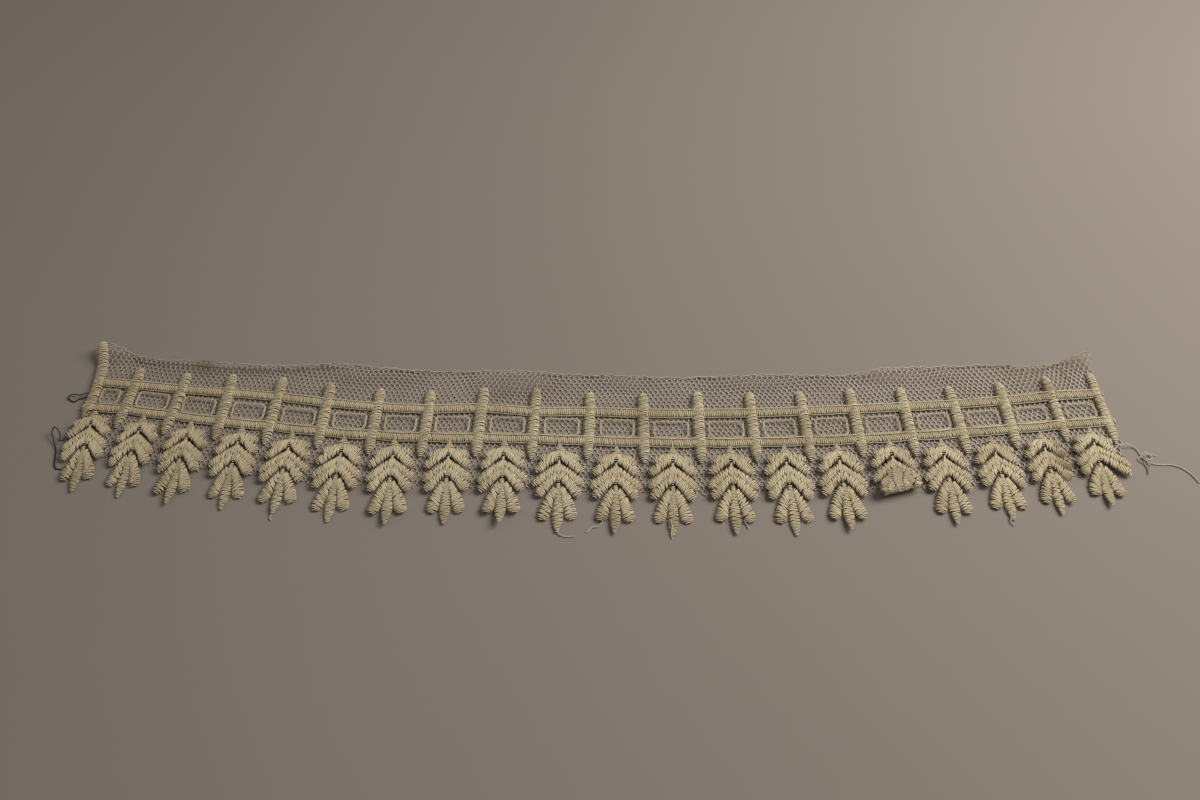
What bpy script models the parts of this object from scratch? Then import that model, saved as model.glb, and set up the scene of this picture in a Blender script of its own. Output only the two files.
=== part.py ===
"""Embroidered lace trim that lies on a table, bent into a shallow smile.

A strip of net carries two satin-stitched rails, the pickets that cross them, a corded window between
each two pickets, and a row of satin leaves. X runs along the trim to the right, Y runs from the
leaves up to the plain net heading, and Z is up. The origin is on the underside of the heading, half
way along the trim. Every size and table here is in millimetres, and MM turns it into metres.
"""

from bisect import bisect_right
from collections import namedtuple
from math import cos, floor, hypot, pi, sin

import bmesh
import bpy
from mathutils import Vector
from mathutils.geometry import delaunay_2d_cdt

MM = 0.001

# Driving sizes
GAP = 0.3
NET_THICK = 1.0
NET_BELOW_LEAF_TOP = 18.0
NET_COLUMNS = 56
NET_RAGGED = 0.5
RAIL_HALF = 1.3
RAIL_HIGH = 1.0
RAIL_LIFT = 0.1
LOWER_RAIL_SAG = 0.4
RAIL_ENDS = (-171.5, 167.7)
PICKET_HALF = 1.6
PICKET_HIGH = 1.35
PICKET_END_HIGH = 0.45
PICKET_BOW = 0.25
WINDOW_CORD = 0.9
WINDOW_HIGH = 0.65
WINDOW_CORNER = 1.4
WINDOW_OFF_RAIL = 0.45
LEAF_WIDE = 15.5
LEAF_LONG = 33.0
LEAF_EDGE = 0.55
LEAF_RIDGE = 1.3
LEAF_VALLEY = 0.8
RIDGE_FROM = 0.36
RIDGE_STOPS = 1.25
RIDGE_FALL = 0.1
THREAD_RADIUS = 0.2
SNAP = 0.04
MERGE = 0.0001

# The pickets from left to right: the ends of each, the two rails' centres and the net's cut edge there
Picket = namedtuple("Picket", "x top foot_x foot upper_rail lower_rail net_top")
PICKETS = [
    Picket(-172.0, 24.6, -169.2, -8.3, 8.9, -2.2, 26.0),
    Picket(-156.8, 14.6, -157.4, -12.0, 7.1, -4.0, 20.2),
    Picket(-140.3, 12.0, -141.2, -14.7, 5.0, -6.6, 18.0),
    Picket(-124.7, 11.3, -124.2, -17.0, 3.5, -9.1, 16.3),
    Picket(-107.4, 10.0, -107.6, -19.1, 1.5, -11.3, 16.0),
    Picket(-90.7, 7.6, -90.5, -20.5, -1.0, -13.5, 16.8),
    Picket(-73.5, 5.0, -73.8, -23.0, -3.0, -15.2, 14.9),
    Picket(-56.6, 4.2, -57.2, -24.0, -4.0, -16.1, 13.6),
    Picket(-38.8, 4.9, -39.6, -24.0, -3.6, -16.4, 13.2),
    Picket(-21.3, 4.5, -21.8, -25.2, -5.2, -16.8, 12.7),
    Picket(-3.4, 3.0, -4.1, -25.2, -5.2, -17.6, 11.6),
    Picket(14.3, 2.7, 14.0, -26.7, -6.0, -18.2, 10.6),
    Picket(32.4, 3.3, 32.0, -26.8, -6.1, -18.5, 10.7),
    Picket(49.8, 3.0, 49.8, -26.2, -5.7, -18.3, 11.3),
    Picket(66.6, 3.4, 66.8, -26.0, -5.0, -17.7, 11.6),
    Picket(83.4, 4.8, 83.6, -24.2, -4.1, -16.9, 11.7),
    Picket(100.6, 5.2, 100.5, -23.9, -3.0, -15.7, 14.5),
    Picket(116.9, 5.9, 117.0, -22.7, -1.9, -14.2, 15.4),
    Picket(134.3, 7.8, 133.5, -20.8, -0.2, -12.5, 16.6),
    Picket(150.2, 9.9, 150.2, -17.8, 1.5, -10.7, 15.6),
    Picket(166.3, 12.4, 165.6, -18.8, 3.2, -9.1, 20.6),
]

# The bays between the pickets: the window, then the leaf under it with the rise of its free tip
Bay = namedtuple(
    "Bay", "window_left window_right window_high leaf_x leaf_top tip_x tip_y leaf_wide tip_rise"
)
BAYS = [
    Bay(-166.4, -160.4, 6.2, -165.9, -5.3, -163.2, -38.5, 14.0, 0.4),
    Bay(-153.8, -143.4, 6.4, -149.1, -7.9, -148.5, -40.6, 13.6, 0.2),
    Bay(-138.0, -127.4, 6.6, -132.9, -10.6, -132.6, -43.5, 14.2, 0.9),
    Bay(-121.0, -110.6, 6.6, -115.9, -12.6, -115.6, -45.3, 14.4, 0.1),
    Bay(-104.1, -93.4, 6.5, -99.1, -15.3, -99.4, -47.0, 15.0, 0.6),
    Bay(-87.0, -76.6, 6.5, -82.1, -17.3, -82.5, -50.0, 15.2, 0.0),
    Bay(-70.0, -60.0, 6.6, -65.9, -18.2, -64.7, -51.4, 15.2, 1.1),
    Bay(-53.5, -42.7, 6.9, -48.2, -19.0, -47.2, -50.7, 15.4, 0.3),
    Bay(-35.6, -24.7, 6.9, -30.6, -18.8, -30.3, -51.4, 15.6, 2.2),
    Bay(-17.9, -7.0, 6.9, -12.9, -20.2, -12.9, -53.8, 15.8, 0.2),
    Bay(0.3, 10.9, 7.1, 5.2, -21.4, 4.4, -54.4, 15.6, 0.7),
    Bay(17.6, 28.6, 6.8, 23.1, -21.4, 21.8, -55.0, 15.5, 0.0),
    Bay(35.4, 46.4, 6.8, 41.2, -21.4, 40.9, -54.6, 15.6, 0.5),
    Bay(53.3, 63.4, 7.1, 58.5, -20.7, 58.8, -55.0, 15.2, 0.1),
    Bay(70.2, 80.4, 7.2, 75.4, -20.2, 75.3, -53.5, 15.2, 1.2),
    Bay(87.0, 97.4, 7.1, 92.2, -19.0, 92.3, -51.8, 14.8, 0.0),
    Bay(103.9, 114.0, 6.9, 109.1, -18.5, 107.6, -51.1, 15.0, 0.8),
    Bay(120.6, 130.6, 6.5, 125.3, -17.3, 125.0, -49.3, 14.8, 0.3),
    Bay(137.0, 146.6, 6.4, 141.8, -15.2, 140.3, -47.3, 14.0, 0.6),
    Bay(153.6, 163.0, 6.4, 158.2, -13.2, 156.2, -44.4, 14.8, 1.6),
]

# One half of a leaf of full size: each lobe's axis, measured out from the spine and down from the top,
# and how far the notch below it is drawn in. The open slit and the end notch have points of their own.
Lobe = namedtuple("Lobe", "root_out root_down tip_out tip_down half tip_points notch_depth")
LOBES = [
    Lobe(0.6, 2.2, 5.0, 5.4, 1.35, 2, 1.0),
    Lobe(1.0, 3.6, 6.7, 8.7, 1.35, 2, 1.1),
    Lobe(1.0, 5.2, 7.3, 12.2, 1.35, 2, 2.6),
    Lobe(1.0, 8.6, 7.6, 15.6, 1.40, 2, 1.0),
    Lobe(1.0, 10.2, 7.7, 18.9, 1.45, 2, 1.1),
    Lobe(0.9, 11.8, 6.5, 22.2, 1.50, 3, 0.0),
    Lobe(0.9, 15.8, 4.6, 29.2, 1.90, 3, 0.0),
]
STEM = [(0.45, 0.0), (0.85, 1.7)]
SLIT = [(0.6, 15.2), (1.3, 17.6), (3.9, 21.9)]
END_NOTCH = (2.1, 25.6)
END_SHOULDER = (1.5, 30.6)

# A lobe's rounded end by its count of points: how far each lies back from the tip and out to the upper
# side, in half widths of the lobe
LOBE_END = {
    2: [(0.9, 0.85), (0.0, -0.35)],
    3: [(0.9, 0.85), (0.0, 0.0), (0.7, -0.75)],
}

# The spine of the leaf: distance down and height over the leaf's underside, low in the open slits
SPINE = [
    (2.2, 1.0),
    (4.6, 1.1),
    (7.6, 0.7),
    (10.6, 1.15),
    (14.0, 0.9),
    (19.5, 1.1),
    (25.0, 1.3),
    (30.0, 1.0),
]

# Puckers of the net: the place of each, how far it reaches and how high it lifts
Pucker = namedtuple("Pucker", "x y reach_x reach_y lift")
PUCKERS = [
    Pucker(-172.0, 24.0, 12.0, 9.0, 2.2),
    Pucker(-127.0, 16.5, 36.0, 6.0, 0.9),
    Pucker(-30.0, 9.0, 20.0, 9.0, 0.9),
    Pucker(95.0, 14.0, 14.0, 7.0, 1.2),
    Pucker(150.0, 8.0, 14.0, 13.0, 0.9),
    Pucker(169.0, 21.5, 14.0, 9.0, 2.4),
]
HEADING_FLAT = 9.5
HEADING_WAVE = 0.6
HEADING_WAVE_LONG = 47.0

# The cut ends of the net, as x at each y, from the leaves up to the heading's corner
LEFT_END = [(-24.0, -170.4), (-9.0, -171.3), (9.0, -171.8), (18.0, -172.8), (26.0, -174.2)]
RIGHT_END = [(-32.0, 164.8), (-19.0, 167.8), (0.0, 168.4), (12.0, 168.6), (22.0, 169.6)]

# A stitched band's section, flat below and rounded above: share of the half width and of the height
BAND_SECTION = [(-1.0, 0.0), (1.0, 0.0), (0.74, 0.72), (0.0, 1.0), (-0.74, 0.72)]

# A picket's ends narrow to a rounded point: distance from the end and share of the full width
TAPER = [(0.0, 0.25), (1.2, 0.66), (3.6, 0.93), (9.0, 1.0)]
CRUMPLED_BOW = 1.3

# The leaf that is folded back: the two ends of its fold, then how its flap lies on the leaf
FOLDED_LEAF = 16
FOLD_FROM = (85.3, -41.4)
FOLD_TO = (99.4, -37.3)
FOLD_TURN = 2.6
FOLD_STEPS = 4
FLAP_SHARE = 0.6
FLAP_SHEAR = 0.7
FLAP_NOTCH = (2.6, 28.6)
FLAP_SPRING = 0.1

# The leaf whose right side curls up
CURLED_LEAF = 19
CURL_FROM = 2.5
CURL_RADIUS = 5.0
CURL_LINES = [0.0, 2.0]

# Lobes that leave the pattern, by leaf, side and lobe: tip out, tip down and notch. The folded leaf's
# left one is short, and those of the last leaf are torn and spread past the net's end.
STRAY_LOBES = {
    (16, -1, 5): (5.4, 21.2, 0.0),
    (20, 1, 2): (6.0, 10.8, 2.6),
    (20, 1, 3): (9.3, 14.8, 1.0),
    (20, 1, 4): (10.5, 17.8, 2.2),
}
LOBE_UNEVEN = 0.3

# Past the net's lower edge a leaf eases down to the table, and its free tip may rise again
EASE_STARTS = 0.8
TIP_EASE = 5.0
TIP_REACH = 9.0
SLOPE_REACH = 6.0

# Loose threads: x, y and height of the thread's centre over the table
TAIL_ROUTE = [
    (165.0, -20.2, 1.55),
    (168.2, -19.6, 1.5),
    (170.8, -19.8, 0.6),
    (171.8, -21.6, 0.3),
    (172.0, -23.5, 0.3),
    (172.9, -25.3, 0.3),
    (174.4, -26.6, 0.3),
    (177.0, -27.1, 0.3),
    (180.6, -27.2, 0.3),
    (183.4, -28.6, 0.3),
    (185.3, -30.9, 0.3),
    (186.6, -34.4, 0.3),
]
BIG_LOOP_ROUTE = [
    (-172.3, -17.9, 1.6),
    (-173.6, -18.2, 1.5),
    (-173.5, -16.6, 1.8),
    (-174.9, -14.2, 2.2),
    (-176.6, -13.0, 2.2),
    (-176.9, -14.8, 1.7),
    (-175.5, -18.0, 0.7),
    (-174.1, -20.8, 0.3),
    (-173.1, -24.2, 0.3),
    (-172.4, -26.9, 0.3),
    (-171.2, -28.7, 0.3),
    (-169.4, -29.0, 0.3),
]
SMALL_LOOP_ROUTE = [
    (-172.2, 2.9, 1.2),
    (-173.6, 2.2, 1.2),
    (-175.0, 2.8, 0.9),
    (-176.9, 2.9, 0.6),
    (-177.6, 1.9, 0.4),
    (-176.4, 0.6, 0.3),
    (-175.0, 0.1, 0.3),
    (-173.9, 1.2, 0.3),
    (-172.6, 1.5, 0.3),
]
THREAD_STEP = 1.0


def uneven(*keys):
    """A fixed number from -1 to 1 for each set of keys, for hand-worked unevenness."""
    mixed = sin(sum(key * weight for key, weight in zip(keys, (12.99, 78.23, 37.72)))) * 43758.55
    return 2.0 * (mixed - floor(mixed)) - 1.0


def smooth_through(places, values, x):
    """The value at x on a smooth curve through the values, which runs on straight past both ends."""
    last = len(places) - 2
    k = min(max(bisect_right(places, x) - 1, 0), last)
    span = places[k + 1] - places[k]
    before = max(k - 1, 0)
    after = min(k + 2, last + 1)
    slope_in = (values[k + 1] - values[before]) / (places[k + 1] - places[before]) * span
    slope_out = (values[after] - values[k]) / (places[after] - places[k]) * span
    t = (x - places[k]) / span
    if t < 0:
        return values[k] + slope_in * t
    if t > 1:
        return values[k + 1] + slope_out * (t - 1)
    rise = t * t * (3 - 2 * t)
    ease_in = t * (1 - t) * (1 - t)
    ease_out = t * t * (t - 1)
    return values[k] * (1 - rise) + values[k + 1] * rise + slope_in * ease_in + slope_out * ease_out


def at_pickets(column, x):
    return smooth_through([p.x for p in PICKETS], [getattr(p, column) for p in PICKETS], x)


def net_bottom(x):
    """The net's lower edge, behind the leaves."""
    return smooth_through([b.leaf_x for b in BAYS], [b.leaf_top for b in BAYS], x) - NET_BELOW_LEAF_TOP


def lower_rail(x):
    """The lower rail's centre, which sags between its pickets."""
    places = [p.x for p in PICKETS]
    k = min(max(bisect_right(places, x) - 1, 0), len(places) - 2)
    t = min(max((x - places[k]) / (places[k + 1] - places[k]), 0.0), 1.0)
    return at_pickets("lower_rail", x) - LOWER_RAIL_SAG * sin(pi * t)


def lie(x, y):
    """How far the net's underside is lifted off the table at this place."""
    lift = 0.0
    for pucker in PUCKERS:
        away = hypot((x - pucker.x) / pucker.reach_x, (y - pucker.y) / pucker.reach_y)
        if away < 1:
            lift += pucker.lift * (0.5 + 0.5 * cos(pi * away))
    above = (y - at_pickets("upper_rail", x) - HEADING_FLAT) / (HEADING_FLAT / 2)
    if above > 0:
        swell = 0.5 + 0.5 * sin(2 * pi * x / HEADING_WAVE_LONG + sin(x / 23.0))
        lift += HEADING_WAVE * swell * min(above, 1.0)
    return lift


def seat(x, y):
    """The height of what lies on the net."""
    return lie(x, y) + NET_THICK + GAP


def make_material(name, colour, roughness):
    material = bpy.data.materials.new(name)
    material.use_nodes = True
    shader = material.node_tree.nodes["Principled BSDF"]
    shader.inputs["Base Color"].default_value = (*colour, 1.0)
    shader.inputs["Roughness"].default_value = roughness
    shader.inputs["Metallic"].default_value = 0.0
    return material


def add_object(name, bm, material):
    """Closes the work on a mesh: faces out, millimetres to metres, one object."""
    bmesh.ops.recalc_face_normals(bm, faces=bm.faces)
    bmesh.ops.scale(bm, vec=(MM, MM, MM), verts=bm.verts)
    mesh = bpy.data.meshes.new(name)
    bm.to_mesh(mesh)
    bm.free()
    mesh.materials.append(material)
    made = bpy.data.objects.new(name, mesh)
    bpy.context.scene.collection.objects.link(made)
    return made


def loft(bm, rings, closed=False):
    """Joins equal rings of points by faces, and caps the two ends unless the run closes on itself."""
    loops = [[bm.verts.new(point) for point in ring] for ring in rings]
    count = len(loops[0])
    pairs = list(zip(loops, loops[1:]))
    if closed:
        pairs.append((loops[-1], loops[0]))
    for one, two in pairs:
        for i in range(count):
            j = (i + 1) % count
            bm.faces.new((one[i], one[j], two[j], two[i]))
    if not closed:
        bm.faces.new(loops[0][::-1])
        bm.faces.new(loops[-1])


def arch(x, y, across, half, low, high):
    """A stitched band's section at one place, its width lying along across."""
    return [
        (x + across[0] * half * u, y + across[1] * half * u, low + high * v) for u, v in BAND_SECTION
    ]


def net_rows(x):
    """The heights along Y of the net's rows of points, from its lower edge up to its cut top edge."""
    upper = at_pickets("upper_rail", x)
    flat = upper + HEADING_FLAT
    top = at_pickets("net_top", x) + NET_RAGGED * uneven(x)
    return [net_bottom(x), lower_rail(x), upper, upper + HEADING_FLAT / 2, flat, (flat + top) / 2, top]


def end_at(rows, y):
    return smooth_through([row[0] for row in rows], [row[1] for row in rows], y)


def make_net(material):
    """The net ground: a sheet with uneven cut ends, flat behind the stitching and puckered above it."""
    bm = bmesh.new()
    left = PICKETS[0].x
    right = PICKETS[-1].x
    columns = []
    for i in range(NET_COLUMNS + 1):
        share = i / NET_COLUMNS
        column = []
        for y in net_rows(left + share * (right - left)):
            x = end_at(LEFT_END, y) * (1 - share) + end_at(RIGHT_END, y) * share
            column.append((x, y, lie(x, y)))
        columns.append(column)
    rings = []
    for column in columns:
        upper_side = [(x, y, z + NET_THICK) for x, y, z in reversed(column)]
        rings.append(column + upper_side)
    count = len(columns[0])
    loops = [[bm.verts.new(point) for point in ring] for ring in rings]
    for one, two in zip(loops, loops[1:]):
        for i in range(2 * count):
            j = (i + 1) % (2 * count)
            bm.faces.new((one[i], one[j], two[j], two[i]))
    for end in (loops[0], loops[-1]):
        for i in range(count - 1):
            bm.faces.new((end[i], end[i + 1], end[2 * count - 2 - i], end[2 * count - 1 - i]))
    bmesh.ops.triangulate(bm, faces=bm.faces)
    return add_object("net", bm, material)


def add_rail(bm, centre_at):
    """One rail, from end to end of the net, a little higher over the net than the pickets' undersides."""
    rings = []
    stations = []
    for one, two in zip(PICKETS, PICKETS[1:]):
        stations += [one.x, one.x + (two.x - one.x) / 3, one.x + (two.x - one.x) * 2 / 3]
    stations[0] = RAIL_ENDS[0]
    stations.append(RAIL_ENDS[1])
    for x in stations:
        y = centre_at(x)
        rings.append(arch(x, y, (0.0, 1.0), RAIL_HALF, seat(x, y) + RAIL_LIFT, RAIL_HIGH))
    loft(bm, rings)


def picket_stations(long):
    """Distances from a picket's top, with the share of its width there."""
    down = list(TAPER)
    up = [(long - away, share) for away, share in reversed(TAPER)]
    return down + up


def add_picket(bm, picket, bow):
    """One picket: a straight or bowed band, pointed at both ends, over both rails."""
    long = hypot(picket.foot_x - picket.x, picket.foot - picket.top)
    rings = []
    for down, share in picket_stations(long):
        t = down / long
        x = picket.x + (picket.foot_x - picket.x) * t + bow * sin(pi * t)
        y = picket.top + (picket.foot - picket.top) * t
        half = PICKET_HALF * share
        high = PICKET_HIGH * (PICKET_END_HIGH + (1 - PICKET_END_HIGH) * share)
        rings.append(arch(x, y, (1.0, 0.0), half, seat(x, y), high))
    loft(bm, rings)


def make_fence(material):
    """The rails and the pickets that are stitched over them, as one piece."""
    pickets = bmesh.new()
    for i, picket in enumerate(PICKETS):
        add_picket(pickets, picket, CRUMPLED_BOW if i == 0 else PICKET_BOW * uneven(i, 2))
    guide = add_object("picket_guide", pickets, material)
    guide.hide_render = True
    guide.display_type = "WIRE"
    rails = bmesh.new()
    add_rail(rails, lambda x: at_pickets("upper_rail", x))
    add_rail(rails, lower_rail)
    fence = add_object("fence", rails, material)
    union = fence.modifiers.new("pickets", "BOOLEAN")
    union.operation = "UNION"
    union.solver = "EXACT"
    union.object = guide
    return fence


def window_path(bay):
    """The rounded outline of one window, as points in turn, set just over the lower rail."""
    inset = WINDOW_CORNER
    left = bay.window_left + inset
    right = bay.window_right - inset
    path = []
    for x, level, turn in [(right, 1.0, 0.0), (left, 1.0, 0.5), (left, 0.0, 1.0), (right, 0.0, 1.5)]:
        for step in (0.0, 0.25, 0.5):
            angle = pi * (turn + step)
            px = x + inset * cos(angle)
            base = lower_rail(px) + RAIL_HALF + WINDOW_OFF_RAIL + WINDOW_CORD / 2
            py = base + inset + level * (bay.window_high - 2 * inset) + inset * sin(angle)
            path.append((px, py))
    return path


def make_window(name, bay, material):
    """The couched cord of one window, a closed loop with a three-sided section."""
    path = window_path(bay)
    centre = Vector((0.5 * (bay.window_left + bay.window_right), sum(y for _, y in path) / len(path)))
    rings = []
    for i, (x, y) in enumerate(path):
        before = Vector(path[i - 1])
        after = Vector(path[(i + 1) % len(path)])
        along = (after - before).normalized()
        out = Vector((along.y, -along.x))
        if out.dot(Vector((x, y)) - centre) < 0:
            out = -out
        low = seat(x, y)
        inner = Vector((x, y)) - out * WINDOW_CORD / 2
        outer = Vector((x, y)) + out * WINDOW_CORD / 2
        rings.append([(*inner, low), (*outer, low), (x, y, low + WINDOW_HIGH)])
    bm = bmesh.new()
    loft(bm, rings, closed=True)
    return add_object(name, bm, material)


def leaf_half(index, side):
    """The lobes of one half of a leaf, each a little off its place, in millimetres out and down."""
    lobes = []
    for k, lobe in enumerate(LOBES):
        out = lobe.tip_out + LOBE_UNEVEN * uneven(index, k, side)
        down = lobe.tip_down + LOBE_UNEVEN * uneven(index, k + 9, side)
        depth = lobe.notch_depth
        if (index, side, k) in STRAY_LOBES:
            out, down, depth = STRAY_LOBES[index, side, k]
        lobes.append(lobe._replace(tip_out=out, tip_down=down, notch_depth=depth))
    return lobes


def lobe_end(lobe):
    """The outline points around a lobe's rounded end, upper side first."""
    root = Vector((lobe.root_out, lobe.root_down))
    tip = Vector((lobe.tip_out, lobe.tip_down))
    along = (tip - root).normalized()
    upper = Vector((along.y, -along.x))
    return [tip + (upper * out - along * back) * lobe.half for back, out in LOBE_END[lobe.tip_points]]


def notch_between(one, two):
    """The notch between two neighbouring lobes, drawn in from their tips towards their roots."""
    tips = Vector((one.tip_out + two.tip_out, one.tip_down + two.tip_down)) / 2
    roots = Vector((one.root_out + two.root_out, one.root_down + two.root_down)) / 2
    return tips + (roots - tips).normalized() * one.notch_depth


def half_outline(lobes, end_notch):
    """One half of a leaf's outline, from the stem to its end shoulder."""
    line = [Vector(point) for point in STEM]
    for one, two in zip(lobes, lobes[1:]):
        line += lobe_end(one)
        if one.notch_depth > 0.0:
            line.append(notch_between(one, two))
        else:
            line += [Vector(point) for point in SLIT]
    line += lobe_end(lobes[-1])
    line += [Vector(end_notch), Vector(END_SHOULDER)]
    return line


def leaf_plan(index):
    """A leaf in its own plane: outline points, inner points with heights, and the lines that join them."""
    outline = []
    inner = []
    joins = []
    for side in (1, -1):
        lobes = leaf_half(index, side)
        line = half_outline(lobes, FLAP_NOTCH if index == FOLDED_LEAF else END_NOTCH)
        ordered = line if side > 0 else list(reversed(line))
        outline += [Vector((side * p.x, p.y)) for p in ordered]
        if side > 0:
            outline.append(Vector((0.0, LEAF_LONG)))
        for lobe in lobes:
            root = Vector((lobe.root_out, lobe.root_down))
            tip = Vector((lobe.tip_out, lobe.tip_down))
            near = root.lerp(tip, RIDGE_FROM)
            far = root.lerp(tip, 1.0 - RIDGE_STOPS * lobe.half / (tip - root).length)
            joins.append((len(inner), len(inner) + 1))
            inner.append((side * near.x, near.y, LEAF_RIDGE))
            inner.append((side * far.x, far.y, LEAF_RIDGE - RIDGE_FALL))
        for one, two in zip(lobes, lobes[1:]):
            if one.notch_depth > 0.0:
                x = (one.root_out + two.root_out + one.tip_out + two.tip_out) / 4
                y = (one.root_down + two.root_down + one.tip_down + two.tip_down) / 4
                inner.append((side * x, y, LEAF_VALLEY))
    inner += [(0.0, down, high) for down, high in SPINE]
    return outline, inner, joins


def flat_leaf(index):
    """A closed leaf over its own plane: rounded ridges above, flat below. X is out, Y is down the leaf."""
    outline, inner, joins = leaf_plan(index)
    count = len(outline)
    points = outline + [Vector(p[:2]) for p in inner]
    heights = [LEAF_EDGE] * count + [p[2] for p in inner]
    ridge_lines = [(count + a, count + b) for a, b in joins]
    whole = [list(range(count))]
    top = delaunay_2d_cdt(points, ridge_lines, whole, 1, MERGE)
    under = delaunay_2d_cdt(outline, [], whole, 1, MERGE)
    bm = bmesh.new()
    upper = {}
    lower = {}
    for k, (place, origin) in enumerate(zip(top[0], top[3])):
        upper[k] = bm.verts.new((place.x, place.y, heights[origin[0]]))
    by_outline = {origin[0]: upper[k] for k, origin in enumerate(top[3]) if origin[0] < count}
    for k, (place, origin) in enumerate(zip(under[0], under[3])):
        lower[k] = bm.verts.new((place.x, place.y, 0.0))
    under_outline = {origin[0]: lower[k] for k, origin in enumerate(under[3])}
    for face in top[2]:
        bm.faces.new([upper[k] for k in face])
    for face in under[2]:
        bm.faces.new([lower[k] for k in reversed(face)])
    for k in range(count):
        j = (k + 1) % count
        bm.faces.new((under_outline[k], under_outline[j], by_outline[j], by_outline[k]))
    return bm


def cut_loops(bm, place, normal, distances):
    """Adds lines of points right across a solid, so that it can bend there."""
    for away in distances:
        centre = Vector(place) + Vector(normal) * away
        whole = bm.verts[:] + bm.edges[:] + bm.faces[:]
        bmesh.ops.bisect_plane(bm, geom=whole, dist=SNAP, plane_co=centre, plane_no=normal)


def curl_side(bm):
    """Rolls the right side of a leaf up along its length."""
    for vert in bm.verts:
        beyond = vert.co.x - CURL_FROM
        if beyond > 0:
            turn = beyond / CURL_RADIUS
            arm = CURL_RADIUS - vert.co.z
            vert.co.x = CURL_FROM + arm * sin(turn)
            vert.co.z = CURL_RADIUS - arm * cos(turn)


def fold_back(bm, low):
    """Folds a leaf's lower part back over its face, along the slanting fold."""
    along = (Vector((*FOLD_TO, 0.0)) - Vector((*FOLD_FROM, 0.0))).normalized()
    away = Vector((along.y, -along.x, 0.0))
    inner_radius = GAP / 2
    axis_high = low + LEAF_RIDGE + inner_radius
    hinge = Vector((*FOLD_FROM, 0.0)) - away * (LEAF_RIDGE + inner_radius)
    cut_loops(bm, hinge, away, [FOLD_TURN * k / FOLD_STEPS for k in range(FOLD_STEPS + 1)])
    for vert in bm.verts:
        beyond = (vert.co - hinge).dot(away)
        if beyond <= 0:
            continue
        sideways = (vert.co - hinge).dot(along)
        arm = axis_high - vert.co.z
        turn = pi * min(beyond / FOLD_TURN, 1.0)
        flap = max(beyond - FOLD_TURN, 0.0) * FLAP_SHARE
        place = hinge + along * (sideways + flap * FLAP_SHEAR) + away * (arm * sin(turn) - flap)
        vert.co = Vector((place.x, place.y, axis_high - arm * cos(turn) + flap * FLAP_SPRING))


def make_leaf(index, bay, material):
    """One leaf: laid on the net, and easing down past the net's lower edge to the table."""
    bm = flat_leaf(index)
    if index == CURLED_LEAF:
        cut_loops(bm, (CURL_FROM, 0.0, 0.0), (1.0, 0.0, 0.0), CURL_LINES)
        curl_side(bm)
    top = Vector((bay.leaf_x, bay.leaf_top))
    down = Vector((bay.tip_x, bay.tip_y)) - top
    stretch = down.length / LEAF_LONG
    down.normalize()
    out = Vector((-down.y, down.x))
    for vert in bm.verts:
        place = top + out * vert.co.x * bay.leaf_wide / LEAF_WIDE + down * vert.co.y * stretch
        vert.co = Vector((place.x, place.y, vert.co.z))
    if index == FOLDED_LEAF:
        low = NET_THICK + GAP
        for vert in bm.verts:
            vert.co.z += low
        fold_back(bm, low)
        return add_object(f"leaf_{index:02d}", bm, material)
    rise = net_bottom(bay.leaf_x + SLOPE_REACH) - net_bottom(bay.leaf_x - SLOPE_REACH)
    slope = rise / (2 * SLOPE_REACH)
    edge = Vector((bay.leaf_x, net_bottom(bay.leaf_x) - EASE_STARTS, 0.0))
    normal = Vector((slope, -1.0, 0.0)).normalized()
    cut_loops(bm, edge, normal, [0.0, TIP_EASE])
    for vert in bm.verts:
        beyond = (Vector((vert.co.x, vert.co.y, 0.0)) - edge).dot(normal)
        on_net = 1.0 - min(max(beyond / TIP_EASE, 0.0), 1.0)
        free = max(beyond - TIP_EASE, 0.0) / TIP_REACH
        vert.co.z += seat(vert.co.x, vert.co.y) * on_net + bay.tip_rise * free
    return add_object(f"leaf_{index:02d}", bm, material)


def smooth_route(route):
    """Points about one step apart on a smooth curve through the route's own points."""
    lengths = [0.0]
    for one, two in zip(route, route[1:]):
        lengths.append(lengths[-1] + (Vector(two) - Vector(one)).length)
    count = round(lengths[-1] / THREAD_STEP)
    points = []
    for i in range(count + 1):
        away = lengths[-1] * i / count
        points.append([smooth_through(lengths, [p[axis] for p in route], away) for axis in range(3)])
    return points


def make_thread(name, route, material):
    """A loose thread, as a round tube along its route."""
    curve = bpy.data.curves.new(name, "CURVE")
    curve.dimensions = "3D"
    curve.bevel_depth = THREAD_RADIUS * MM
    curve.bevel_resolution = 2
    curve.use_fill_caps = True
    points = smooth_route(route)
    spline = curve.splines.new("POLY")
    spline.points.add(len(points) - 1)
    for spot, point in zip(spline.points, points):
        spot.co = (*(value * MM for value in point), 1.0)
    curve.materials.append(material)
    made = bpy.data.objects.new(name, curve)
    bpy.context.scene.collection.objects.link(made)
    return made


def build():
    for old in list(bpy.data.objects):
        bpy.data.objects.remove(old, do_unlink=True)
    net = make_material("cotton_net", (0.36, 0.31, 0.24), 0.9)
    satin = make_material("cream_satin", (0.55, 0.47, 0.29), 0.7)
    cord = make_material("couched_cord", (0.50, 0.44, 0.29), 0.8)
    dark = make_material("dark_thread", (0.02, 0.02, 0.03), 0.8)
    pale = make_material("pale_thread", (0.55, 0.51, 0.42), 0.8)
    make_net(net)
    make_fence(satin)
    for index, bay in enumerate(BAYS, start=1):
        make_window(f"window_{index:02d}", bay, cord)
    for index, bay in enumerate(BAYS, start=1):
        make_leaf(index, bay, satin)
    make_thread("thread_tail", TAIL_ROUTE, pale)
    make_thread("thread_big_loop", BIG_LOOP_ROUTE, dark)
    make_thread("thread_small_loop", SMALL_LOOP_ROUTE, dark)


build()
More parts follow.
